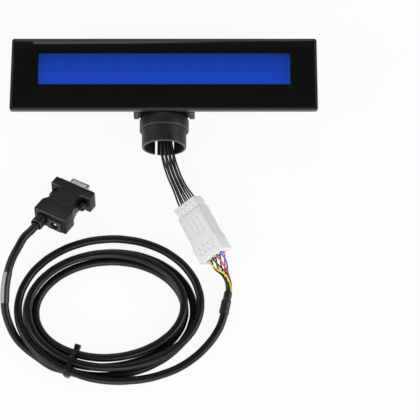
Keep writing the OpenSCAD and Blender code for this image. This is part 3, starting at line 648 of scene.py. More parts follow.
def object_place(tree):
    return add(tree, "ShaderNodeTexCoord").outputs["Object"]


def split_place(tree, place):
    """The X, Y and Z of a place."""
    return add(tree, "ShaderNodeSeparateXYZ", {"Vector": place}).outputs


def reckon(tree, operation, *values, **choices):
    """The result of one step of arithmetic."""
    step = add(tree, "ShaderNodeMath", dict(enumerate(values)), operation=operation, **choices)
    return step.outputs["Value"]


def noise(tree, place, scale, detail):
    inputs = {"Vector": place, "Scale": scale, "Detail": detail, "Roughness": 0.55}
    return add(tree, "ShaderNodeTexNoise", inputs).outputs["Fac"]


def ranged(tree, value, to, over=(0.3, 0.7)):
    """A value brought from one range, by default that of noise, to another."""
    inputs = {"Value": value, "From Min": over[0], "From Max": over[1], "To Min": to[0], "To Max": to[1]}
    return add(tree, "ShaderNodeMapRange", inputs).outputs["Result"]


def blended(tree, factor, first, second):
    """A colour between two colours."""
    inputs = {"Factor": factor, "A": (*first, 1), "B": (*second, 1)}
    return add(tree, "ShaderNodeMix", inputs, data_type="RGBA").outputs["Result"]


def bumped(tree, height, depth):
    """Normals of a relief of some depth, in millimetres."""
    inputs = {"Strength": 1.0, "Distance": depth * MM, "Height": height}
    return add(tree, "ShaderNodeBump", inputs).outputs["Normal"]


def mixed(tree, share, first, second):
    """A surface between two surfaces."""
    return add(tree, "ShaderNodeMixShader", {"Fac": share, 1: first, 2: second}).outputs["Shader"]


def opaque(tree, sockets):
    """A plastic or metal surface."""
    return add(tree, "ShaderNodeBsdfPrincipled", sockets).outputs["BSDF"]


def shade(colour, amount):
    return tuple(max(0.0, min(1.0, c * amount)) for c in colour)


def moulded(name, colour, rough, grain, depth, drift=0.12, rough_drift=0.06, tint=1.0, sockets=None):
    """A moulded or drawn surface: fine grain, slow drift of colour, and a gloss that varies with the grain.

    The colour may be the name of a setting. The grain is counted per metre, and its depth is in millimetres.
    """
    if isinstance(colour, str):
        colour = getattr(settings().colours, colour)
    colour = shade(colour, tint)
    material, tree = blank(name)
    place = object_place(tree)
    slow = noise(tree, place, DRIFT_SCALE, 2.0)
    fine = noise(tree, place, grain, 4.0)
    show(tree, opaque(tree, {
        "Base Color": blended(tree, slow, shade(colour, 1 - drift), shade(colour, 1 + drift)),
        "Roughness": ranged(tree, fine, span(rough, rough_drift)),
        "Normal": bumped(tree, fine, depth),
        **(sockets or {}),
    }))
    return material


# Shader inputs of black mouldings that mirror more or less, of bare metal, and of nylon that lets light in
SATIN = {"Specular IOR Level": 0.34}
DULL = {"Specular IOR Level": 0.3}
METAL = {"Metallic": 1.0}
TRANSLUCENT = {"Subsurface Weight": 0.2, "Subsurface Scale": 1.5 * MM}
# What each moulded or drawn finish is made with
RECIPES = {
    "cable_vinyl": dict(
        colour="cable", rough=0.36, grain=1500, depth=0.012, drift=0.1, rough_drift=0.05, sockets=SATIN
    ),
    "lead_vinyl": dict(colour="lead", rough=0.34, grain=3000, depth=0.006, drift=0.1, rough_drift=0.05),
    "rim_plastic": dict(colour="rim", rough=0.30, grain=2600, depth=0.01),
    "panel_print": dict(
        colour="panel", rough=0.07, grain=160, depth=0.0015, drift=0.15, rough_drift=0.03,
        sockets={"IOR": ACRYLIC_IOR},
    ),
    "light_guide": dict(colour=(0.80, 0.83, 0.88), rough=0.45, grain=900, depth=0.01, drift=0.03),
    "black_steel": dict(
        colour=(0.012, 0.012, 0.014), rough=0.38, grain=1800, depth=0.008, sockets={"Metallic": 0.4}
    ),
    "gasket_foam": dict(colour=(0.012, 0.012, 0.012), rough=0.9, grain=1400, depth=0.25),
    "screw_steel": dict(
        colour=(0.55, 0.55, 0.56), rough=0.3, grain=2500, depth=0.01, drift=0.06, sockets=METAL
    ),
    "tinned_brass": dict(
        colour=(0.62, 0.59, 0.50), rough=0.3, grain=2500, depth=0.01, drift=0.08, sockets=METAL
    ),
    "black_nylon": dict(colour=(0.014, 0.014, 0.014), rough=0.5, grain=2200, depth=0.02),
    "ivory_nylon": dict(colour=(0.72, 0.68, 0.56), rough=0.45, grain=2200, depth=0.015),
    "capacitor_sleeve": dict(colour=(0.02, 0.025, 0.09), rough=0.35, grain=1500, depth=0.01),
    "housing_plastic": dict(colour="housing", rough=0.42, grain=1700, depth=0.04),
    "neck_plastic": dict(colour="neck", rough=0.45, grain=1900, depth=0.03, sockets=DULL),
    # A painted highlight: a lighter finish for the neck's lower edges
    "neck_rim": dict(colour=(0.046, 0.056, 0.052), rough=0.36, grain=1900, depth=0.01),
    "connector_nylon": dict(
        colour="connector", rough=0.36, grain=1500, depth=0.015, drift=0.03, rough_drift=0.05,
        sockets=TRANSLUCENT,
    ),
    "shrink_vinyl": dict(
        colour=(0.011, 0.011, 0.011), rough=0.42, grain=900, depth=0.05, drift=0.25, rough_drift=0.14
    ),
    "label_film": dict(colour="label", rough=0.45, grain=700, depth=0.01, drift=0.05, rough_drift=0.08),
    "label_wrap": dict(
        colour=(0.008, 0.008, 0.008), rough=0.35, grain=700, depth=0.01, drift=0.1, rough_drift=0.08
    ),
    "tie_nylon": dict(colour=(0.006, 0.006, 0.006), rough=0.38, grain=2500, depth=0.012, sockets=DULL),
    "hood_plastic": dict(colour="hood", rough=0.42, grain=1500, depth=0.03, sockets=SATIN),
    # A painted highlight: a lighter finish for rounded edges of the hood and the boot
    "hood_edge": dict(colour="hood", tint=9.0, rough=0.34, grain=1500, depth=0.01),
    "boot_vinyl": dict(colour="hood", tint=0.8, rough=0.42, grain=1500, depth=0.02, sockets=DULL),
    "knob_resin": dict(colour="hood", tint=1.1, rough=0.4, grain=1800, depth=0.02),
    "shell_nickel": dict(
        colour=(0.58, 0.57, 0.55), rough=0.28, grain=1500, depth=0.012, drift=0.06, sockets={"Metallic": 0.9}
    ),
    "contact_resin": dict(colour=(0.012, 0.012, 0.013), rough=0.45, grain=2000, depth=0.02),
    "contact_gold": dict(
        colour=(0.80, 0.58, 0.22), rough=0.25, grain=2500, depth=0.006, drift=0.06, sockets=METAL
    ),
    "jack_resin": dict(colour=(0.022, 0.022, 0.022), rough=0.45, grain=1800, depth=0.03),
    "pin_nickel": dict(
        colour=(0.66, 0.65, 0.62), rough=0.22, grain=2500, depth=0.006, drift=0.05, sockets=METAL
    ),
}
MADE = {}


def finish(name):
    """A moulded finish, made once for all the pieces that share it."""
    if name not in MADE:
        MADE[name] = moulded(name, **RECIPES[name])
    return MADE[name]


# Settings

def colour_setting(name, description, default):
    return bpy.props.FloatVectorProperty(
        name=name, description=description, default=default, subtype="COLOR", size=3, min=0.0, max=1.0
    )


def length_setting(name, description, default):
    return bpy.props.FloatProperty(
        name=name, description=description, default=default * MM,
        unit="LENGTH", subtype="DISTANCE", precision=4,
    )


class PoleDisplayColours(bpy.types.PropertyGroup):
    rim: colour_setting("Rim", "Moulded frame round the front panel", (0.024, 0.028, 0.026))
    housing: colour_setting("Housing", "Moulded tray behind the frame", (0.040, 0.042, 0.040))
    panel: colour_setting("Panel", "Print behind the front panel", (0.004, 0.003, 0.0035))
    display: colour_setting("Display", "Lit ground of the character display", (0.0025, 0.0295, 0.25))
    neck: colour_setting("Neck", "Moulded neck", (0.012, 0.0125, 0.013))
    cable: colour_setting("Cable", "Jacket of the serial cable", (0.0045, 0.0045, 0.0045))
    lead: colour_setting("Leads", "Black wires of the neck", (0.009, 0.009, 0.01))
    connector: colour_setting("Connector", "Natural nylon of the wire connector", (0.79, 0.79, 0.785))
    hood: colour_setting("Hood", "Moulded hood of the serial plug", (0.007, 0.007, 0.007))
    label: colour_setting("Label", "Film of the wrap label", (0.36, 0.36, 0.36))


class PoleDisplaySizes(bpy.types.PropertyGroup):
    cable_d: length_setting("Cable", "Diameter of the serial cable", CABLE_D)
    lead_d: length_setting("Lead", "Diameter of a black wire", 1.4)
    core_d: length_setting("Core", "Diameter of a coloured wire", 1.2)


class PoleDisplayStage(bpy.types.PropertyGroup):
    lens: bpy.props.FloatProperty(
        name="Lens", description="Focal length of the camera on a 36 mm sensor", default=148.02, unit="CAMERA"
    )
    distance: length_setting("Distance", "From the camera to the point that it looks at", 1300.0)
    elevation: bpy.props.FloatProperty(
        name="Elevation", description="Camera's angle above the floor", default=math.radians(71.0),
        subtype="ANGLE",
    )
    target: bpy.props.FloatVectorProperty(
        name="Target", description="Point on the floor that the camera looks at",
        default=(0.0345, -0.08325, 0.0), unit="LENGTH", subtype="TRANSLATION", size=3,
    )
    floor: colour_setting("Floor", "Pale floor and backdrop", (0.92, 0.92, 0.92))


class PoleDisplaySettings(bpy.types.PropertyGroup):
    colours: bpy.props.PointerProperty(type=PoleDisplayColours)
    sizes: bpy.props.PointerProperty(type=PoleDisplaySizes)
    stage: bpy.props.PointerProperty(type=PoleDisplayStage)


def settings():
    return bpy.context.scene.pole_display


# Operators

class POLEDISPLAY_OT_stage(bpy.types.Operator):
    """Set up the floor, the lamps, the surroundings and the camera"""

    bl_idname = "pole_display.stage"
    bl_label = "Stage"
    sensor_w = 36.0
    floor_size = 8.0
    floor_z = -0.3 * MM
    floor_glow = 0.92
    # Place and breadth in metres, and power in watts
    lamps = {
        "lamp_left": ((-1.5, -0.7, 1.1), 1.3, 13.0),
        "lamp_right": ((1.6, -0.5, 0.9), 1.3, 15.0),
        "lamp_front": ((0.2, -1.9, 0.8), 1.4, 14.0),
        "lamp_back": ((-0.3, 1.75, 1.4), 1.2, 6.0),
    }

    def execute(self, context):
        stage = settings().stage
        context.scene.view_settings.view_transform = "Standard"
        self.make_camera(context.scene, stage)
        self.make_floor(stage)
        self.make_world(context.scene)
        for name, (at, breadth, power) in self.lamps.items():
            self.make_lamp(name, Vector(at), Vector(stage.target), breadth, power)
        return {"FINISHED"}

    def make_camera(self, scene, stage):
        rest_all()
        back = Vector((0, -math.cos(stage.elevation), math.sin(stage.elevation)))
        bpy.ops.object.camera_add(
            location=Vector(stage.target) + back * stage.distance,
            rotation=(math.pi / 2 - stage.elevation, 0, 0),
        )
        camera = bpy.context.object
        camera.name = "camera"
        camera.data.lens = stage.lens
        camera.data.sensor_width = self.sensor_w
        camera.data.clip_start, camera.data.clip_end = 0.01, 50.0
        scene.camera = camera

    def make_floor(self, stage):
        rest_all()
        bpy.ops.mesh.primitive_plane_add(size=self.floor_size, location=(0, 0, self.floor_z))
        floor = begin("floor")
        material, tree = blank("pale_floor")
        patches = noise(tree, object_place(tree), 3.0, 3.0)
        colour = blended(tree, patches, shade(stage.floor, 0.99), stage.floor)
        lit = add(tree, "ShaderNodeBsdfDiffuse", {"Color": colour})
        glow = add(tree, "ShaderNodeEmission", {"Color": WHITE, "Strength": 1.0})
        share = ranged(tree, self.seen_directly(tree), (0.0, self.floor_glow), (0.0, 1.0))
        show(tree, mixed(tree, share, lit.outputs["BSDF"], glow.outputs["Emission"]))
        floor.data.materials.append(material)

    def seen_directly(self, tree):
        """1 for what the camera, a mirror or a lens sees, and 0 for light on its way."""
        path = add(tree, "ShaderNodeLightPath").outputs
        mirrored = reckon(tree, "MAXIMUM", path["Is Camera Ray"], path["Is Glossy Ray"])
        return reckon(tree, "MAXIMUM", mirrored, path["Is Transmission Ray"])

    def make_world(self, scene):
        """White surroundings that fade overhead and towards the back."""
        scene.world = bpy.data.worlds.new("studio")
        scene.world.use_nodes = True
        tree = scene.world.node_tree
        tree.nodes.clear()
        place = split_place(tree, add(tree, "ShaderNodeTexCoord").outputs["Generated"])
        height = ranged(tree, place["Z"], (0.85, 0.10), (0.35, 0.88))
        depth = ranged(tree, place["Y"], (1.0, 0.3), (0.1, 0.8))
        strength = reckon(tree, "MULTIPLY", height, depth)
        ground = add(tree, "ShaderNodeBackground", {"Color": WHITE, "Strength": strength})
        add(tree, "ShaderNodeOutputWorld", {"Surface": ground.outputs["Background"]})

    def make_lamp(self, name, at, target, breadth, power):
        rest_all()
        turn = (target - at).to_track_quat("-Z", "Y").to_euler()
        bpy.ops.object.light_add(type="AREA", location=at, rotation=turn)
        lamp = bpy.context.object
        lamp.name = name
        lamp.data.shape = "DISK"
        lamp.data.size = breadth
        lamp.data.energy = power


class POLEDISPLAY_OT_cable(bpy.types.Operator):
    """Lay the serial cable from the sleeve, round its coil, to the plug"""

    bl_idname = "pole_display.cable"
    bl_label = "Cable"

    def execute(self, context):
        cable = tube("cable", cable_points(), settings().sizes.cable_d / MM, 5)
        nodes = ("cable_left_run", "cable_coil", "cable_right_run")
        complete(cable, "base", "cable_vinyl", [finish("cable_vinyl")], *nodes)
        return {"FINISHED"}


class POLEDISPLAY_OT_leads(bpy.types.Operator):
    """Lay the eight black wires from the tilt axis to the connector"""

    bl_idname = "pole_display.leads"
    bl_label = "Black wires"

    def execute(self, context):
        for i in range(WIRES):
            wire = tube(f"lead_wire_{i + 1}", lead_points(i), settings().sizes.lead_d / MM, 3)
            complete(wire, "base", "wire_black", [finish("lead_vinyl")], "lead_wires")
        return {"FINISHED"}


class POLEDISPLAY_OT_cores(bpy.types.Operator):
    """Lay the eight coloured wires from the connector to the sleeve"""

    bl_idname = "pole_display.cores"
    bl_label = "Coloured wires"
    shades = {
        "black": (0.006, 0.006, 0.006), "green": (0.0, 0.14, 0.075), "purple": (0.06, 0.01, 0.07),
        "salmon": (0.83, 0.17, 0.10), "blue": (0.012, 0.09, 0.72), "red": (0.62, 0.018, 0.022),
        "brown": (0.07, 0.018, 0.012), "yellow": (0.88, 0.66, 0.0),
    }
    recipe = dict(rough=0.34, grain=3000, depth=0.005, drift=0.06, rough_drift=0.05)

    def execute(self, context):
        for i, (name, colour) in enumerate(self.shades.items()):
            wire = tube(f"core_wire_{name}", core_points(i), settings().sizes.core_d / MM, 3)
            vinyl = moulded(f"core_vinyl_{name}", colour, **self.recipe)
            complete(wire, "base", "core_vinyl", [vinyl], "core_wires")
        return {"FINISHED"}


class POLEDISPLAY_OT_bezel(bpy.types.Operator):
    """Model the moulded frame round the front panel"""

    bl_idname = "pole_display.bezel"
    bl_label = "Face frame"
    opening_half_w = 97.0
    opening_half_h = 19.0

    def execute(self, context):
        piece = block("face_frame", span(0, FACE_W / 2), (FACE_LOW_Y, FACE_HIGH_Y), (BEZEL_BACK_Z, FACE_Z))
        soften(piece, 2.0, 6, upright)
        edit(piece)
        pick(piece, "FACE", looks_up)
        bpy.ops.mesh.inset(thickness=RIM_W * MM, depth=0)
        pull(0, 0, LENS_BACK_Z - FACE_Z)
        done()
        soften(piece, 0.45, 3, lambda e: at_height(e, FACE_Z))
        soften(piece, 0.4, 2, lambda e: at_height(e, BEZEL_BACK_Z) and sharp(e))
        through = (BEZEL_BACK_Z - 3.5, LENS_BACK_Z + 1.4)
        carve(piece, block(
            "opening", span(0, self.opening_half_w), span(DISPLAY_Y, self.opening_half_h), through
        ))
        complete(piece, "head", "rim_plastic", [finish("rim_plastic")], "front_bezel")
        return {"FINISHED"}


class POLEDISPLAY_OT_panel(bpy.types.Operator):
    """Model the acrylic front panel, printed black round its clear window"""

    bl_idname = "pole_display.panel"
    bl_label = "Front panel"
    margin = RIM_W + 0.15

    def execute(self, context):
        width = span(0, FACE_W / 2 - self.margin)
        height = (FACE_LOW_Y + self.margin, FACE_HIGH_Y - self.margin)
        piece = block("face_panel", width, height, (LENS_BACK_Z, LENS_TOP_Z))
        soften(piece, 1.0, 5, upright)
        soften(piece, 0.3, 3, lambda e: at_height(e, LENS_TOP_Z))
        bisect(piece, [(0, x) for x in WINDOW_X] + [(1, y) for y in WINDOW_Y])
        complete(piece, "head", "panel_acrylic", [finish("panel_print"), self.clear()], "front_lens")
        finish_faces(piece, self.in_window)
        return {"FINISHED"}

    def in_window(self, face):
        at = face.center / MM
        return WINDOW_X[0] < at.x < WINDOW_X[1] and WINDOW_Y[0] < at.y < WINDOW_Y[1]

    def clear(self):
        """Clear acrylic: what is behind it shows, under a faint gloss on its outer side."""
        material, tree = blank("panel_clear")
        smudge = noise(tree, object_place(tree), 160.0, 4.0)
        rough = ranged(tree, smudge, (0.03, 0.10))
        gloss = add(tree, "ShaderNodeBsdfGlossy", {"Color": WHITE, "Roughness": rough})
        through = add(tree, "ShaderNodeBsdfTransparent", {"Color": (0.97, 0.97, 0.98, 1)})
        mirror = add(tree, "ShaderNodeFresnel", {"IOR": ACRYLIC_IOR}).outputs["Fac"]
        inner = add(tree, "ShaderNodeNewGeometry").outputs["Backfacing"]
        share = reckon(tree, "SUBTRACT", mirror, inner, use_clamp=True)
        show(tree, mixed(tree, share, through.outputs["BSDF"], gloss.outputs["BSDF"]))
        return material


class POLEDISPLAY_OT_display(bpy.types.Operator):
    """Finish the display module behind the panel"""

    bl_idname = "pole_display.display"
    bl_label = "Display module"
    # Pitch of the character cells in millimetres, and the share of it that a character takes
    across = (9.2, 0.80)
    along = (11.6, 0.84)
    cell_glow = 0.10

    def execute(self, context):
        refinish(self.lit_ground(), "lcd_glass")
        refinish(finish("light_guide"), "lcd_backlight")
        refinish(finish("black_steel"), "lcd_frame")
        refinish(finish("gasket_foam"), "lcd_gasket")
        return {"FINISHED"}

    def lit_ground(self):
        """The display's blue ground, lighter below, with faint cells for two lines of characters."""
        material, tree = blank("display_blue")
        blue = settings().colours.display
        place = split_place(tree, object_place(tree))
        columns = self.stripes(tree, place["X"], 0.0, *self.across)
        lines = self.stripes(tree, place["Y"], DISPLAY_Y, *self.along)
        glow = ranged(tree, place["Y"], (1.0, 0.0), [y * MM for y in WINDOW_Y])
        level = reckon(tree, "MULTIPLY_ADD", reckon(tree, "MULTIPLY", columns, lines), self.cell_glow, glow)
        colour = blended(tree, level, shade(blue, 0.72), shade(blue, 1.28))
        show(tree, opaque(tree, {
            "Base Color": colour, "Roughness": 0.25, "Emission Color": colour, "Emission Strength": 1.0,
        }))
        return material

    def stripes(self, tree, place, edge, pitch, share):
        """1 inside stripes that are counted from an edge, in millimetres, and 0 between them."""
        count = reckon(tree, "MULTIPLY_ADD", place, 1 / (pitch * MM), -edge / pitch)
        return reckon(tree, "COMPARE", reckon(tree, "FRACT", count), 0.5, share / 2)


class POLEDISPLAY_OT_electronics(bpy.types.Operator):
    """Finish the boards, screws and sockets inside the head, the hinge's pins and the wires' terminals"""

    bl_idname = "pole_display.electronics"
    bl_label = "Electronics"

    def execute(self, context):
        refinish(self.solder_mask(), "lcd_board", "controller_board")
        refinish(finish("screw_steel"), "lcd_screws", "controller_screws", "housing_screws", "pivot_pins")
        refinish(finish("black_nylon"), "board_header", "controller_chips", "friction_washers")
        refinish(finish("capacitor_sleeve"), "capacitors")
        refinish(finish("ivory_nylon"), "wire_header")
        refinish(finish("lead_vinyl"), "board_leads")
        refinish(finish("tinned_brass"), "lead_terminals", "core_terminals")
        return {"FINISHED"}

    def solder_mask(self):
        """Green solder mask with fine copper tracks under it."""
        material, tree = blank("board_green")
        tracks = add(tree, "ShaderNodeTexBrick", {
            "Vector": object_place(tree), "Scale": 260.0, "Mortar Size": 0.03, "Bias": 0.0,
            "Color1": (0.006, 0.072, 0.026, 1), "Color2": (0.005, 0.058, 0.022, 1),
            "Mortar": (0.012, 0.12, 0.045, 1),
        }).outputs
        relief = bumped(tree, tracks["Fac"], 0.03)
        show(tree, opaque(tree, {"Base Color": tracks["Color"], "Roughness": 0.32, "Normal": relief}))
        return material


class POLEDISPLAY_OT_housing(bpy.types.Operator):
    """Model the tapered tray behind the face, with its hinge ears"""

    bl_idname = "pole_display.housing"
    bl_label = "Rear housing"
    front = (228.0, 56.0)
    back = (220.0, 38.5)
    wall = 2.3
    screw_x = 104.1
    screw_y = 13.0
    # Radius, and where it begins and ends from the back
    post = (4.2, 1.0, 25.6)
    well = (3.2, -1.0, 22.6)
    hole = (1.7, 20.0, 27.0)
    ear_x = (19.0, 23.0)
    label_half_w = 40.0
    label_half_h = 9.0
    label_depth = 0.4

    def execute(self, context):
        piece = self.tray()
        for x in span(0, self.screw_x):
            for y in span(BACK_MID_Y, self.screw_y):
                unite(piece, self.standing("post", x, y, *self.post))
                carve(piece, self.standing("well", x, y, *self.well))
                carve(piece, self.standing("hole", x, y, *self.hole))
        throat = (FACE_LOW_Y - 1, FACE_LOW_Y + 15)
        carve(piece, block("throat", span(0, self.ear_x[0]), throat, (2.5, FACE_Z)))
        root, end = PIVOT_Y + 8, PIVOT_Y - LUG_R
        for side in (-1, 1):
            unite(piece, lug("ear", side, self.ear_x, root, end, corner=5.9, edge=0.5))
        carve(piece, pin_bore(PIN_R + PIN_PLAY))
        width, height = span(0, self.label_half_w), span(BACK_MID_Y, self.label_half_h)
        label = block("label_place", width, height, (-1, self.label_depth))
        soften(label, 1.5, 4, upright)
        carve(piece, label)
        complete(piece, "head", "housing_plastic", [finish("housing_plastic")], "rear_housing")
        return {"FINISHED"}

    def standing(self, name, x, y, radius, low, high):
        return rod(name, radius, (x, y, low), (x, y, high))

    def tray(self):
        half_w, half_h = self.front[0] / 2, self.front[1] / 2
        piece = block("head_tray", span(0, half_w), span(FACE_MID_Y, half_h), (0, BEZEL_BACK_Z))
        edit(piece)
        pick(piece, "VERT", lambda v: v.co.z < MM)
        self.draw_in(0)
        done()
        soften(piece, 4.0, 6, lambda e: not at_height(e, 0) and not at_height(e, BEZEL_BACK_Z))
        soften(piece, 1.6, 4, lambda e: at_height(e, 0))
        edit(piece)
        pick(piece, "FACE", looks_up)
        bpy.ops.mesh.inset(thickness=self.wall * MM, depth=0)
        pull(0, 0, self.wall - BEZEL_BACK_Z)
        self.draw_in(self.wall)
        done()
        return piece

    def draw_in(self, wall):
        """Draw what is selected in from the size of the front to that of the back, inside a wall."""
        across, along = ((b - 2 * wall) / (f - 2 * wall) for b, f in zip(self.back, self.front))
        spread(across, along, (0, FACE_MID_Y, wall))
        bpy.ops.transform.translate(value=(0, (BACK_MID_Y - FACE_MID_Y) * MM, 0))


class POLEDISPLAY_OT_neck(bpy.types.Operator):
    """Turn the neck's collar and slit spigot, with its hinge cheeks"""

    bl_idname = "pole_display.neck"
    bl_label = "Neck"
    # Radius and distance below the collar's top, round the wall and back
    profile = (
        (14.8, 0.5), (15.3, 0.0), (17.9, 0.0), (18.35, 0.2), (18.55, 0.65), (18.55, 8.15), (18.4, 8.6),
        (18.0, COLLAR_H), (17.1, COLLAR_H), (16.8, 8.9), (16.7, 9.2), (16.7, 21.3), (16.6, 21.75),
        (16.3, 22.0), (15.9, 22.1), (15.3, 22.1), (14.95, 21.95), (14.8, 21.6), (14.8, 0.5),
    )
    cheek_x = (8.3, 17.7)
    slit_x = 6.3
    slit_half_w = 0.8
    mark_x = 5.0
    mark_y = SPIGOT_END_Y + 3.2

    def execute(self, context):
        piece = turned("neck_tube", self.profile, 96, closed=True)
        put(piece, shifted(0, COLLAR_TOP_Y, AXIS_Z) @ Matrix.Rotation(math.pi / 2, 4, "X"))
        root, end = COLLAR_TOP_Y - 1, PIVOT_Y + 5.5
        for side in (-1, 1):
            unite(piece, lug("cheek", side, self.cheek_x, root, end, corner=5.4, edge=0.4))
        unite(piece, self.web())
        length = (SPIGOT_END_Y - 1, COLLAR_TOP_Y - COLLAR_H)
        for x in span(0, self.slit_x):
            carve(piece, block("slit", span(x, self.slit_half_w), length, (1, AXIS_Z - 1)))
        carve(piece, pin_bore(PIN_R))
        mark = [(self.mark_x, self.mark_y, AXIS_Z + z) for z in (15.55, 18)]
        carve(piece, rod("gate_mark", 1.5, *mark))
        complete(piece, "base", "neck_plastic", [finish("neck_plastic"), finish("neck_rim")], "neck")
        # The lower edges of the collar and the spigot get a painted highlight
        finish_faces(piece, self.on_highlit_rim)
        return {"FINISHED"}

    def on_highlit_rim(self, face):
        """Whether a face is on the lower edge of the collar or of the spigot, where a highlight is painted in
        a lighter finish.
        """
        at = face.center / MM
        below, out = COLLAR_TOP_Y - at.y, math.hypot(at.x, at.z - AXIS_Z)
        return out > 17.9 and 8.1 < below < COLLAR_H + 0.05 or out > 15.0 and below > 21.5

    def web(self):
        """The thin wall under the wires, between the cheeks."""
        end = PIVOT_Y + 3.3
        width = span(0, self.cheek_x[0] + 0.5)
        piece = block("web", width, (COLLAR_TOP_Y, end), (AXIS_Z - LUG_R, AXIS_Z - 4.3))
        soften(piece, 0.7, 3, lambda e: runs_along(e, 0) and middle(e).y > end - 0.1)
        return piece


class POLEDISPLAY_OT_connector(bpy.types.Operator):
    """Model the two mated halves of the nylon wire connector"""

    bl_idname = "pole_display.connector"
    bl_label = "Wire connector"
    # Half the width and height of the receptacle, and of the plug that it goes into
    inner = (9.3, 5.0)
    outer = (10.75, 6.3)
    play = 0.15
    receptacle_len = 27.0
    collar_len = 7.8
    plug_x = 8.0
    grip_x = 33.0
    latch_half_w = 3.0
    columns = [grid_place(i, TERMINAL_PITCH)[0] for i in range(COLUMNS)]
    cells = [(1, i * TERMINAL_PITCH) for i in range(-2, 3)] + [(2, i * TERMINAL_PITCH) for i in range(-1, 2)]

    def execute(self, context):
        for piece, node in ((self.receptacle(), "receptacle_housing"), (self.plug(), "plug_housing")):
            put(piece, IN_CONNECTOR)
            complete(piece, "base", "connector_nylon", [finish("connector_nylon")], node)
        return {"FINISHED"}

    def receptacle(self):
        half_w, half_h = self.inner
        piece = block("connector_receptacle", (0, self.receptacle_len), span(0, half_w), span(0, half_h))
        bisect(piece, [(0, self.collar_len), *self.cells])
        self.open_cells(piece, -1, 14.0)
        edit(piece)
        sides = (half_w - 0.1, half_h - 0.1)
        pick(piece, "FACE", lambda f: middle(f).x < self.collar_len and self.outside(f, *sides))
        fatten(self.outer[1] - half_h)
        done()
        soften(piece, 0.35, 2, lambda e: sharp(e, 60) and self.outside(e, half_w - 0.5, half_h - 0.4))
        carve(piece, block("notch", (2.2, 8.5), (-12, -half_w), span(0, 8)))
        carve(piece, self.windows(((1.8, 1.7, 0.0), (5.2, 1.5, 0.9))))
        latch = block("latch", (2, 19), span(0, self.latch_half_w), (-8, -6.6))
        soften(latch, 0.3, 2, sharp)
        unite(latch, block("riser", (2.2, self.collar_len), span(0, self.latch_half_w - 0.1), (-7.2, -4.5)))
        unite(piece, latch)
        return piece

    def plug(self):
        half_w, half_h = self.outer
        piece = block("connector_plug", (self.plug_x, CONNECTOR_LEN), span(0, half_w), span(0, half_h))
        bisect(piece, [(0, self.grip_x), *self.cells])
        self.open_cells(piece, 1, 13.0)
        edit(piece)
        pick(piece, "FACE", lambda f: middle(f).x > self.grip_x and abs(middle(f).y) > half_w - 0.05)
        fatten(0.9)
        done()
        soften(piece, 0.4, 3, lambda e: sharp(e, 60) and self.outside(e, half_w - 1.25, half_h - 1.1))
        width, height = (span(0, half + self.play) for half in self.inner)
        carve(piece, block("socket", (self.plug_x - 1, self.receptacle_len + 0.3), width, height))
        carve(piece, self.windows(((35.0, 1.7, 0.9), (39.4, 1.9, 0.0))))
        carve(piece, join(*[block("groove", (14.5, 26.5), span(y, 1.2), (6.05, 7)) for y in self.columns]))
        soften(piece, 0.15, 1, lambda e: sharp(e, 60) and middle(e).x > 14 and middle(e).z > half_h - 0.02)
        unite(piece, block("catch", (19.2, 21.7), span(0, self.latch_half_w), (-8, -6)))
        return piece

    def outside(self, item, half_w, half_h):
        """Whether an edge or face lies outside a box along the connector."""
        at = middle(item)
        return abs(at.y) > half_w or abs(at.z) > half_h

    def open_cells(self, piece, side, depth):
        """Open the eight cells in one end of a half."""
        edit(piece)
        grid = (2 * TERMINAL_PITCH, TERMINAL_PITCH)
        pick(piece, "FACE", lambda f: f.normal.x * side > 0.9 and not self.outside(f, *grid))
        bpy.ops.mesh.inset(thickness=0.5 * MM, depth=0, use_individual=True)
        pull(-side * depth, 0, 0)
        done()

    def windows(self, rows):
        """The small windows over the terminals' locks, as a tool: their start, length and shift to a side."""
        height = (self.outer[1] - 0.4, self.outer[1] + 1)
        return join(*[
            block("window", (x, x + length), span(y + shift, 0.85), height)
            for x, length, shift in rows for y in self.columns
        ])


class POLEDISPLAY_OT_sleeve(bpy.types.Operator):
    """Shrink the wrinkled sleeve over the cable's end"""

    bl_idname = "pole_display.sleeve"
    bl_label = "Sleeve"
    # Radius outside and inside, over the cable and over its cores
    outer = (3.62, 3.0)
    bore = (3.1, 2.5)
    ring_gap = 0.75
    wrinkle = 2.2
    wrinkle_depth = 0.6

    def execute(self, context):
        piece = turned("shrink_sleeve", self.profile(), 48, closed=True)
        wrinkles = bpy.data.textures.new("wrinkles", "CLOUDS")
        wrinkles.noise_scale = self.wrinkle * MM
        modify(piece, "DISPLACE", texture=wrinkles, texture_coords="LOCAL", strength=self.wrinkle_depth * MM)
        put(piece, IN_SHRINK @ ALONG_Y)
        complete(piece, "base", "shrink_sleeve", [finish("shrink_vinyl")], "heat_shrink")
        return {"FINISHED"}

    def profile(self):
        """Radius and place along the sleeve, in close rings that take the wrinkles, and back inside."""
        wide, narrow = self.outer
        wide_bore, narrow_bore = self.bore
        return [
            (wide_bore, 0.0),
            *[(wide, 0.2 + self.ring_gap * i) for i in range(13)],
            (wide - 0.12, 9.9), (narrow + 0.2, 10.7),
            *[(narrow, 11.6 + self.ring_gap * i) for i in range(7)],
            (narrow - 0.05, SHRINK_LEN - 0.1), (narrow_bore, SHRINK_LEN),
            (narrow_bore, 11.5), (wide_bore, 9.5), (wide_bore, 0.0),
        ]


class POLEDISPLAY_OT_label(bpy.types.Operator):
    """Wrap the bare label round the cable"""

    bl_idname = "pole_display.label"
    bl_label = "Wrap label"
    film_t = 0.2
    film_d = CABLE_D + 0.7

    def execute(self, context):
        route = [harness_point(p) for p in LEFT_ROUTE[LABEL_FROM:LABEL_TO + 1]]
        curve = tube("wrap_label", route, self.film_d, 8)
        curve.data.use_fill_caps = False
        piece = meshed(curve)
        modify(piece, "SOLIDIFY", thickness=self.film_t * MM, offset=-1.0)
        complete(piece, "base", "label_film", [finish("label_film"), finish("label_wrap")], "cable_label")
        finish_faces(piece, lambda f: f.normal.x > 0.05)
        return {"FINISHED"}


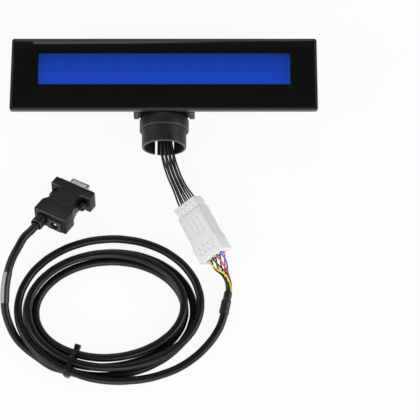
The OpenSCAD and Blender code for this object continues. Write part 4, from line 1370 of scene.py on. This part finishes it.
class POLEDISPLAY_OT_tie(bpy.types.Operator):
    """Pull the nylon tie round the coil"""

    bl_idname = "pole_display.tie"
    bl_label = "Cable tie"
    steps = 64
    # Where each box of the head begins and ends from the strap, half its width, and where from the top
    head = ((-3.2, 0.3), 2.2, (-4.6, 0.0))
    slot = ((-2.3, -1.1), 1.8, (-6.0, 1.0))
    tail = ((-2.2, -1.2), 1.7, (-4.2, 1.4))

    def execute(self, context):
        strands = [Vector((coil_inset(0) - coil_inset(k), coil_height(k))) for k in range(COIL_TURNS + 1)]
        piece = self.band(strands)
        inner = min(p.x for p in strands) - CABLE_D / 2 - TIE_PLAY
        top = max(p.y for p in strands)
        head = self.box("head", inner, top, *self.head)
        soften(head, 0.5, 3, sharp)
        carve(head, self.box("slot", inner, top, *self.slot))
        tail = self.box("tail", inner, top, *self.tail)
        soften(tail, 0.25, 2, sharp)
        join(piece, head, tail)
        out = oval_normal(0)
        at = harness_point((*coil_point(0).xy, 0))
        put(piece, Matrix.Translation(at) @ Matrix.Rotation(math.atan2(out.y, out.x), 4, "Z"))
        complete(piece, "base", "tie_nylon", [finish("tie_nylon")], "cable_tie")
        return {"FINISHED"}

    def box(self, name, inner, top, x, half_w, z):
        return block(name, [inner + at for at in x], span(0, half_w), [top + at for at in z])

    def band(self, strands):
        """The strap: a flat band that lies round the strands."""
        curve, spline = new_curve("tie", "2D", "POLY", self.steps)
        curve.data.fill_mode = "NONE"
        curve.data.extrude = TIE_W * MM / 2
        reach = CABLE_D / 2 + TIE_PLAY + TIE_T / 2
        for i, knot in enumerate(spline.points):
            angle = 2 * math.pi * i / self.steps
            way = Vector((math.cos(angle), math.sin(angle)))
            at = (max(strands, key=way.dot) + way * reach) * MM
            knot.co = (*at, 0, 1)
        spline.use_cyclic_u = True
        piece = meshed(curve)
        modify(piece, "SOLIDIFY", thickness=TIE_T * MM, offset=0.0)
        soften(piece, 0.3, 2, lambda e: sharp(e, 60))
        put(piece, Matrix.Rotation(math.pi / 2, 4, "X"))
        return piece


class POLEDISPLAY_OT_hood(bpy.types.Operator):
    """Model the plug hood's two halves and the boot in its rear"""

    bl_idname = "pole_display.hood"
    bl_label = "Plug hood"
    # Half widths, from the flange to the rear
    waist = 9.1
    swell = 10.9
    rear = 13.7
    flange_y = -8.0
    swell_y = -14.3
    flare = (-21.0, -24.8)
    rear_y = -36.0
    height = 15.0
    wall = 1.5
    ribs = 3
    rib_pitch = 3.1
    # The half's name, its node, and what is cut away from the whole hood
    halves = (
        ("hood_upper", "hood_top", (-5.0, PLUG_MID_Z)),
        ("hood_lower", "hood_bottom", (PLUG_MID_Z, 25.0)),
    )

    def execute(self, context):
        whole = self.whole()
        for name, node, other_half in self.halves:
            piece = copied(whole, name)
            carve(piece, block("other_half", span(0, 30), (-60, 20), other_half))
            soften(piece, 0.22, 1, lambda e: at_height(e, PLUG_MID_Z) and sharp(e, 60))
            put(piece, IN_PLUG)
            complete(piece, "base", "hood_plastic", [finish("hood_plastic"), finish("hood_edge")], node)
            # Rounded upper edges that look to the rear get a painted highlight
            finish_faces(piece, self.on_highlit_edge)
        discard(whole)
        self.boot()
        return {"FINISHED"}

    def whole(self):
        piece = block("hood", span(0, self.waist), (self.rear_y, 0), (0, self.height))
        bisect(piece, [(1, y) for y in (self.flange_y, self.swell_y, *self.flare)])
        flare_from, flare_to = self.flare
        edit(piece)
        pick(piece, "VERT", lambda v: abs(v.co.y / MM - flare_from) < 0.1)
        spread(self.swell / self.waist)
        pick(piece, "VERT", lambda v: v.co.y / MM < flare_to + 0.1)
        spread(self.rear / self.waist)
        pick(piece, "FACE", lambda f: abs(f.normal.x) > 0.9 and middle(f).y > self.flange_y)
        fatten(FLANGE_HALF_W - self.waist)
        done()
        soften(piece, 0.9, 4, sharp)
        carve(piece, self.panel())
        for i in range(self.ribs):
            y = -15.2 - self.rib_pitch * i
            rib = block("rib", span(0, 6.1), (y, y + 0.9), (self.height - 1, self.height + 0.45))
            soften(rib, 0.25, 2, sharp)
            unite(piece, rib)
        for tool in self.hollows():
            carve(piece, tool)
        return piece

    def on_highlit_edge(self, face):
        """Whether a face is on an upper edge that looks to the rear, where a highlight is painted in a
        lighter finish.
        """
        normal = IN_PLUG.to_3x3().inverted() @ face.normal
        height = (IN_PLUG.inverted() @ face.center).z / MM
        return height > self.height - 2 and normal.y < -0.3 and 0.3 < normal.z < 0.9

    def panel(self):
        """The sunk panel between the flange and the flare, as a tool."""
        length = (-14.2, self.flange_y - 0.6)
        sunk = block("panel", span(0, 7.6), length, (self.height - 0.3, self.height + 1))
        soften(sunk, 1.5, 4, upright)
        return sunk

    def hollows(self):
        """The room for the wires, the contact block's seat and the holes in the hood."""
        inner_y, inner_z = self.rear_y + self.wall, (self.wall, self.height - self.wall)
        through = (self.rear_y - 1, self.rear_y + 2)
        yield block("room", span(0, 7.6), (inner_y, -7.5), inner_z)
        yield block("rear_room", span(0, 12.2), (inner_y, -25.5), inner_z)
        yield block("seat", span(0, 9.3), (self.flange_y, 1), span(PLUG_MID_Z, 5.1))
        yield block("jack_window", span(JACK_X, JACK_HALF_W + 0.1), through, span(JACK_Z, JACK_HALF_H + 0.1))
        yield rod("boot_hole", 4.0, *[(BOOT_X, y, PLUG_MID_Z) for y in through])
        for x in span(0, SCREW_X):
            yield rod("screw_hole", SCREW_HOLE_R, (x, -9.5, PLUG_MID_Z), (x, 1, PLUG_MID_Z))
            yield rod("knob_recess", 3.5, (x, -9.5, PLUG_MID_Z), (x, -6.9, PLUG_MID_Z))

    def boot(self):
        """The boot, with a rounded mouth and a groove where the hood's rear wall holds it."""
        bore, groove, outer = 3.12, 3.9, 4.8
        lip = ((4.05, 0.15), (4.2, 0.0), (4.55, 0.0), (4.75, 0.1), (outer, 0.35))
        held_from, held_to = self.rear_y - 0.02, self.rear_y + self.wall
        profile = [
            (bore, BOOT_END + 1), (groove, BOOT_END + 1), *[(radius, BOOT_END + y) for radius, y in lip],
            (outer, held_from), (groove, held_from), (groove, held_to), (outer, held_to),
            (outer, BOOT_INNER), (bore, BOOT_INNER), (bore, BOOT_END + 1),
        ]
        piece = turned("boot", profile, 64, closed=True)
        put(piece, IN_PLUG @ shifted(BOOT_X, 0, PLUG_MID_Z) @ ALONG_Y)
        complete(piece, "base", "hood_plastic", [finish("boot_vinyl"), finish("hood_edge")], "cable_boot")
        # The boot's rounded end ring gets the lighter edge finish, a painted highlight
        finish_faces(piece, lambda f: (IN_PLUG.inverted() @ f.center).y / MM < BOOT_END + 0.3)


class POLEDISPLAY_OT_serial(bpy.types.Operator):
    """Model the serial connector's metal shell and finish its contacts"""

    bl_idname = "pole_display.serial"
    bl_label = "Serial shell"
    plate = (15.4, 6.2)
    plate_t = 0.9
    shell = (8.2, 4.1)
    shell_end = 6.8
    corner = 1.6
    slant = 1.4
    metal_t = 0.5
    dents = 6
    dent_pitch = 2.2

    def execute(self, context):
        half_w, half_h = self.plate
        piece = block("serial_shell", span(0, half_w), (0, self.plate_t), span(PLUG_MID_Z, half_h))
        soften(piece, 2.0, 5, lambda e: runs_along(e, 1))
        unite(piece, self.wall())
        carve(piece, self.outline("bore", self.metal_t, -1.0, 8.0))
        for x in span(0, SCREW_X):
            carve(piece, rod("screw_hole", SCREW_HOLE_R, (x, -1, PLUG_MID_Z), (x, 2, PLUG_MID_Z)))
        put(piece, IN_PLUG)
        complete(piece, "base", "shell_nickel", [finish("shell_nickel")], "d_shell")
        refinish(finish("contact_resin"), "contact_block")
        refinish(finish("contact_gold"), "contacts")
        return {"FINISHED"}

    def outline(self, name, inset, from_y, to_y):
        """A D-shaped prism, wider at its top."""
        half_w, half_h = (half - inset for half in self.shell)
        piece = block(name, span(0, half_w), (from_y, to_y), span(PLUG_MID_Z, half_h))
        edit(piece)
        pick(piece, "VERT", lambda v: v.co.z / MM < PLUG_MID_Z)
        spread((half_w - self.slant) / half_w)
        done()
        soften(piece, self.corner - inset, 6, lambda e: runs_along(e, 1))
        return piece

    def wall(self):
        """The wall round the contacts, dented above and below to grip the other shell."""
        piece = self.outline("wall", 0.0, 0.4, self.shell_end)
        soften(piece, 0.2, 2, lambda e: middle(e).y > self.shell_end - 0.1 and sharp(e, 60))
        for i in range(self.dents):
            x = -5.6 + self.dent_pitch * i
            for z in span(PLUG_MID_Z, self.shell[1] + 0.5):
                carve(piece, rod("dent", 0.62, (x - 0.5, 2.4, z), (x + 0.5, 5.2, z), 16))
        return piece


class POLEDISPLAY_OT_screws(bpy.types.Operator):
    """Turn the two ribbed thumb screws"""

    bl_idname = "pole_display.screws"
    bl_label = "Thumb screws"
    grip = (-13.5, -8.8)
    end_r = 1.4
    # Radius and place along the screw, from the knob's end to the tip
    profile = (
        (end_r, -13.9), (2.2, -13.9), (2.8, -13.8), (3.0, grip[0]), (3.0, grip[1]), (2.8, -8.5), (2.2, -8.4),
        (1.2, -8.35), (1.2, 1.0), (1.4, 1.05), (1.4, 2.2), (1.15, 2.4),
    )
    # Degrees round the knob
    groove_pitch = 30
    groove_w = 10

    def execute(self, context):
        screw = self.screw()
        for side, x in zip(("left", "right"), span(0, SCREW_X)):
            piece = copied(screw, f"screw_{side}")
            node = f"jackscrew_{side}"
            complete(piece, node, "screw_steel", [finish("knob_resin"), finish("screw_steel")], node)
            finish_faces(piece, self.on_steel)
            put(piece, IN_PLUG @ shifted(x, 0, PLUG_MID_Z) @ ALONG_Y)
        discard(screw)
        return {"FINISHED"}

    def screw(self):
        piece = turned("screw", self.profile, 72)
        edit(piece)
        pick(piece, "FACE", self.in_groove)
        fatten(-0.4)
        done()
        carve(piece, block("slot", span(0, 2.4), span(0, 0.45), (-14.5, -12.9)))
        return piece

    def on_steel(self, face):
        """Whether a face is on the screw's shank, or on its end in the middle of the knob."""
        at = face.center / MM
        return at.z > -8.38 or face.normal.z < -0.9 and math.hypot(at.x, at.y) < self.end_r

    def in_groove(self, face):
        at = middle(face)
        on_grip = abs(face.normal.z) < 0.1 and self.grip[0] < at.z < self.grip[1]
        return on_grip and math.degrees(math.atan2(at.y, at.x)) % self.groove_pitch < self.groove_w


class POLEDISPLAY_OT_jack(bpy.types.Operator):
    """Model the power socket in the hood's rear"""

    bl_idname = "pole_display.jack"
    bl_label = "Power socket"
    plate_end = JACK_FACE + 3.0
    case_end = JACK_FACE + 11.0
    case_half = 4.7
    bore_r = 3.15

    def execute(self, context):
        plate = (JACK_FACE, self.plate_end)
        piece = block("power_jack", span(JACK_X, JACK_HALF_W), plate, span(JACK_Z, JACK_HALF_H))
        soften(piece, 0.6, 3, lambda e: sharp(e) and middle(e).y < self.plate_end - 0.1)
        length = (self.plate_end - 0.5, self.case_end)
        unite(piece, block("case", span(JACK_X, self.case_half), length, span(JACK_Z, self.case_half)))
        bore = [(JACK_X, JACK_FACE + y, JACK_Z) for y in (-1, 9.5)]
        carve(piece, rod("bore", self.bore_r, *bore, 64))
        soften(piece, 0.5, 2, self.at_mouth)
        put(piece, IN_PLUG)
        complete(piece, "base", "jack_plastic", [finish("jack_resin")], "dc_jack")
        refinish(finish("pin_nickel"), "dc_jack_pin")
        return {"FINISHED"}

    def at_mouth(self, edge):
        at = middle(edge)
        out = math.hypot(at.x - JACK_X, at.z - JACK_Z)
        return abs(at.y - JACK_FACE) < 0.01 and out < self.bore_r + 0.15


class POLEDISPLAY_OT_cords(bpy.types.Operator):
    """Work out the way and the length of each black and coloured wire"""

    bl_idname = "pole_display.cords"
    bl_label = "Cords"

    def execute(self, context):
        for i in range(WIRES):
            points = lead_points(i)
            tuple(points[0])
            run_length(points)
        for i, name in enumerate(POLEDISPLAY_OT_cores.shades):
            points = core_points(i)
            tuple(points[0])
            run_length(points)
        return {"FINISHED"}


class POLEDISPLAY_PT_panel(bpy.types.Panel):
    """Lists the steps that model the pole display"""

    bl_idname = "POLEDISPLAY_PT_panel"
    bl_label = "Pole display"
    bl_space_type = "VIEW_3D"
    bl_region_type = "UI"
    bl_category = "Pole display"

    def draw(self, context):
        for step in STEPS:
            self.layout.operator(step.bl_idname)
        for group in (settings().sizes, settings().colours, settings().stage):
            for name in group.__annotations__:
                self.layout.prop(group, name)


STEPS = (
    POLEDISPLAY_OT_stage, POLEDISPLAY_OT_cable, POLEDISPLAY_OT_leads, POLEDISPLAY_OT_cores,
    POLEDISPLAY_OT_bezel, POLEDISPLAY_OT_panel, POLEDISPLAY_OT_display, POLEDISPLAY_OT_electronics,
    POLEDISPLAY_OT_housing, POLEDISPLAY_OT_neck, POLEDISPLAY_OT_connector, POLEDISPLAY_OT_sleeve,
    POLEDISPLAY_OT_label, POLEDISPLAY_OT_tie, POLEDISPLAY_OT_hood, POLEDISPLAY_OT_serial,
    POLEDISPLAY_OT_screws, POLEDISPLAY_OT_jack, POLEDISPLAY_OT_cords,
)
CLASSES = (
    PoleDisplayColours, PoleDisplaySizes, PoleDisplayStage, PoleDisplaySettings, *STEPS, POLEDISPLAY_PT_panel,
)


def register():
    for cls in CLASSES:
        bpy.utils.register_class(cls)
    bpy.types.Scene.pole_display = bpy.props.PointerProperty(type=PoleDisplaySettings)


def unregister():
    del bpy.types.Scene.pole_display
    for cls in reversed(CLASSES):
        bpy.utils.unregister_class(cls)


def main():
    register()
    for step in STEPS:
        group, name = step.bl_idname.split(".")
        getattr(getattr(bpy.ops, group), name)()
    rest_all()


if __name__ == "__main__":
    main()
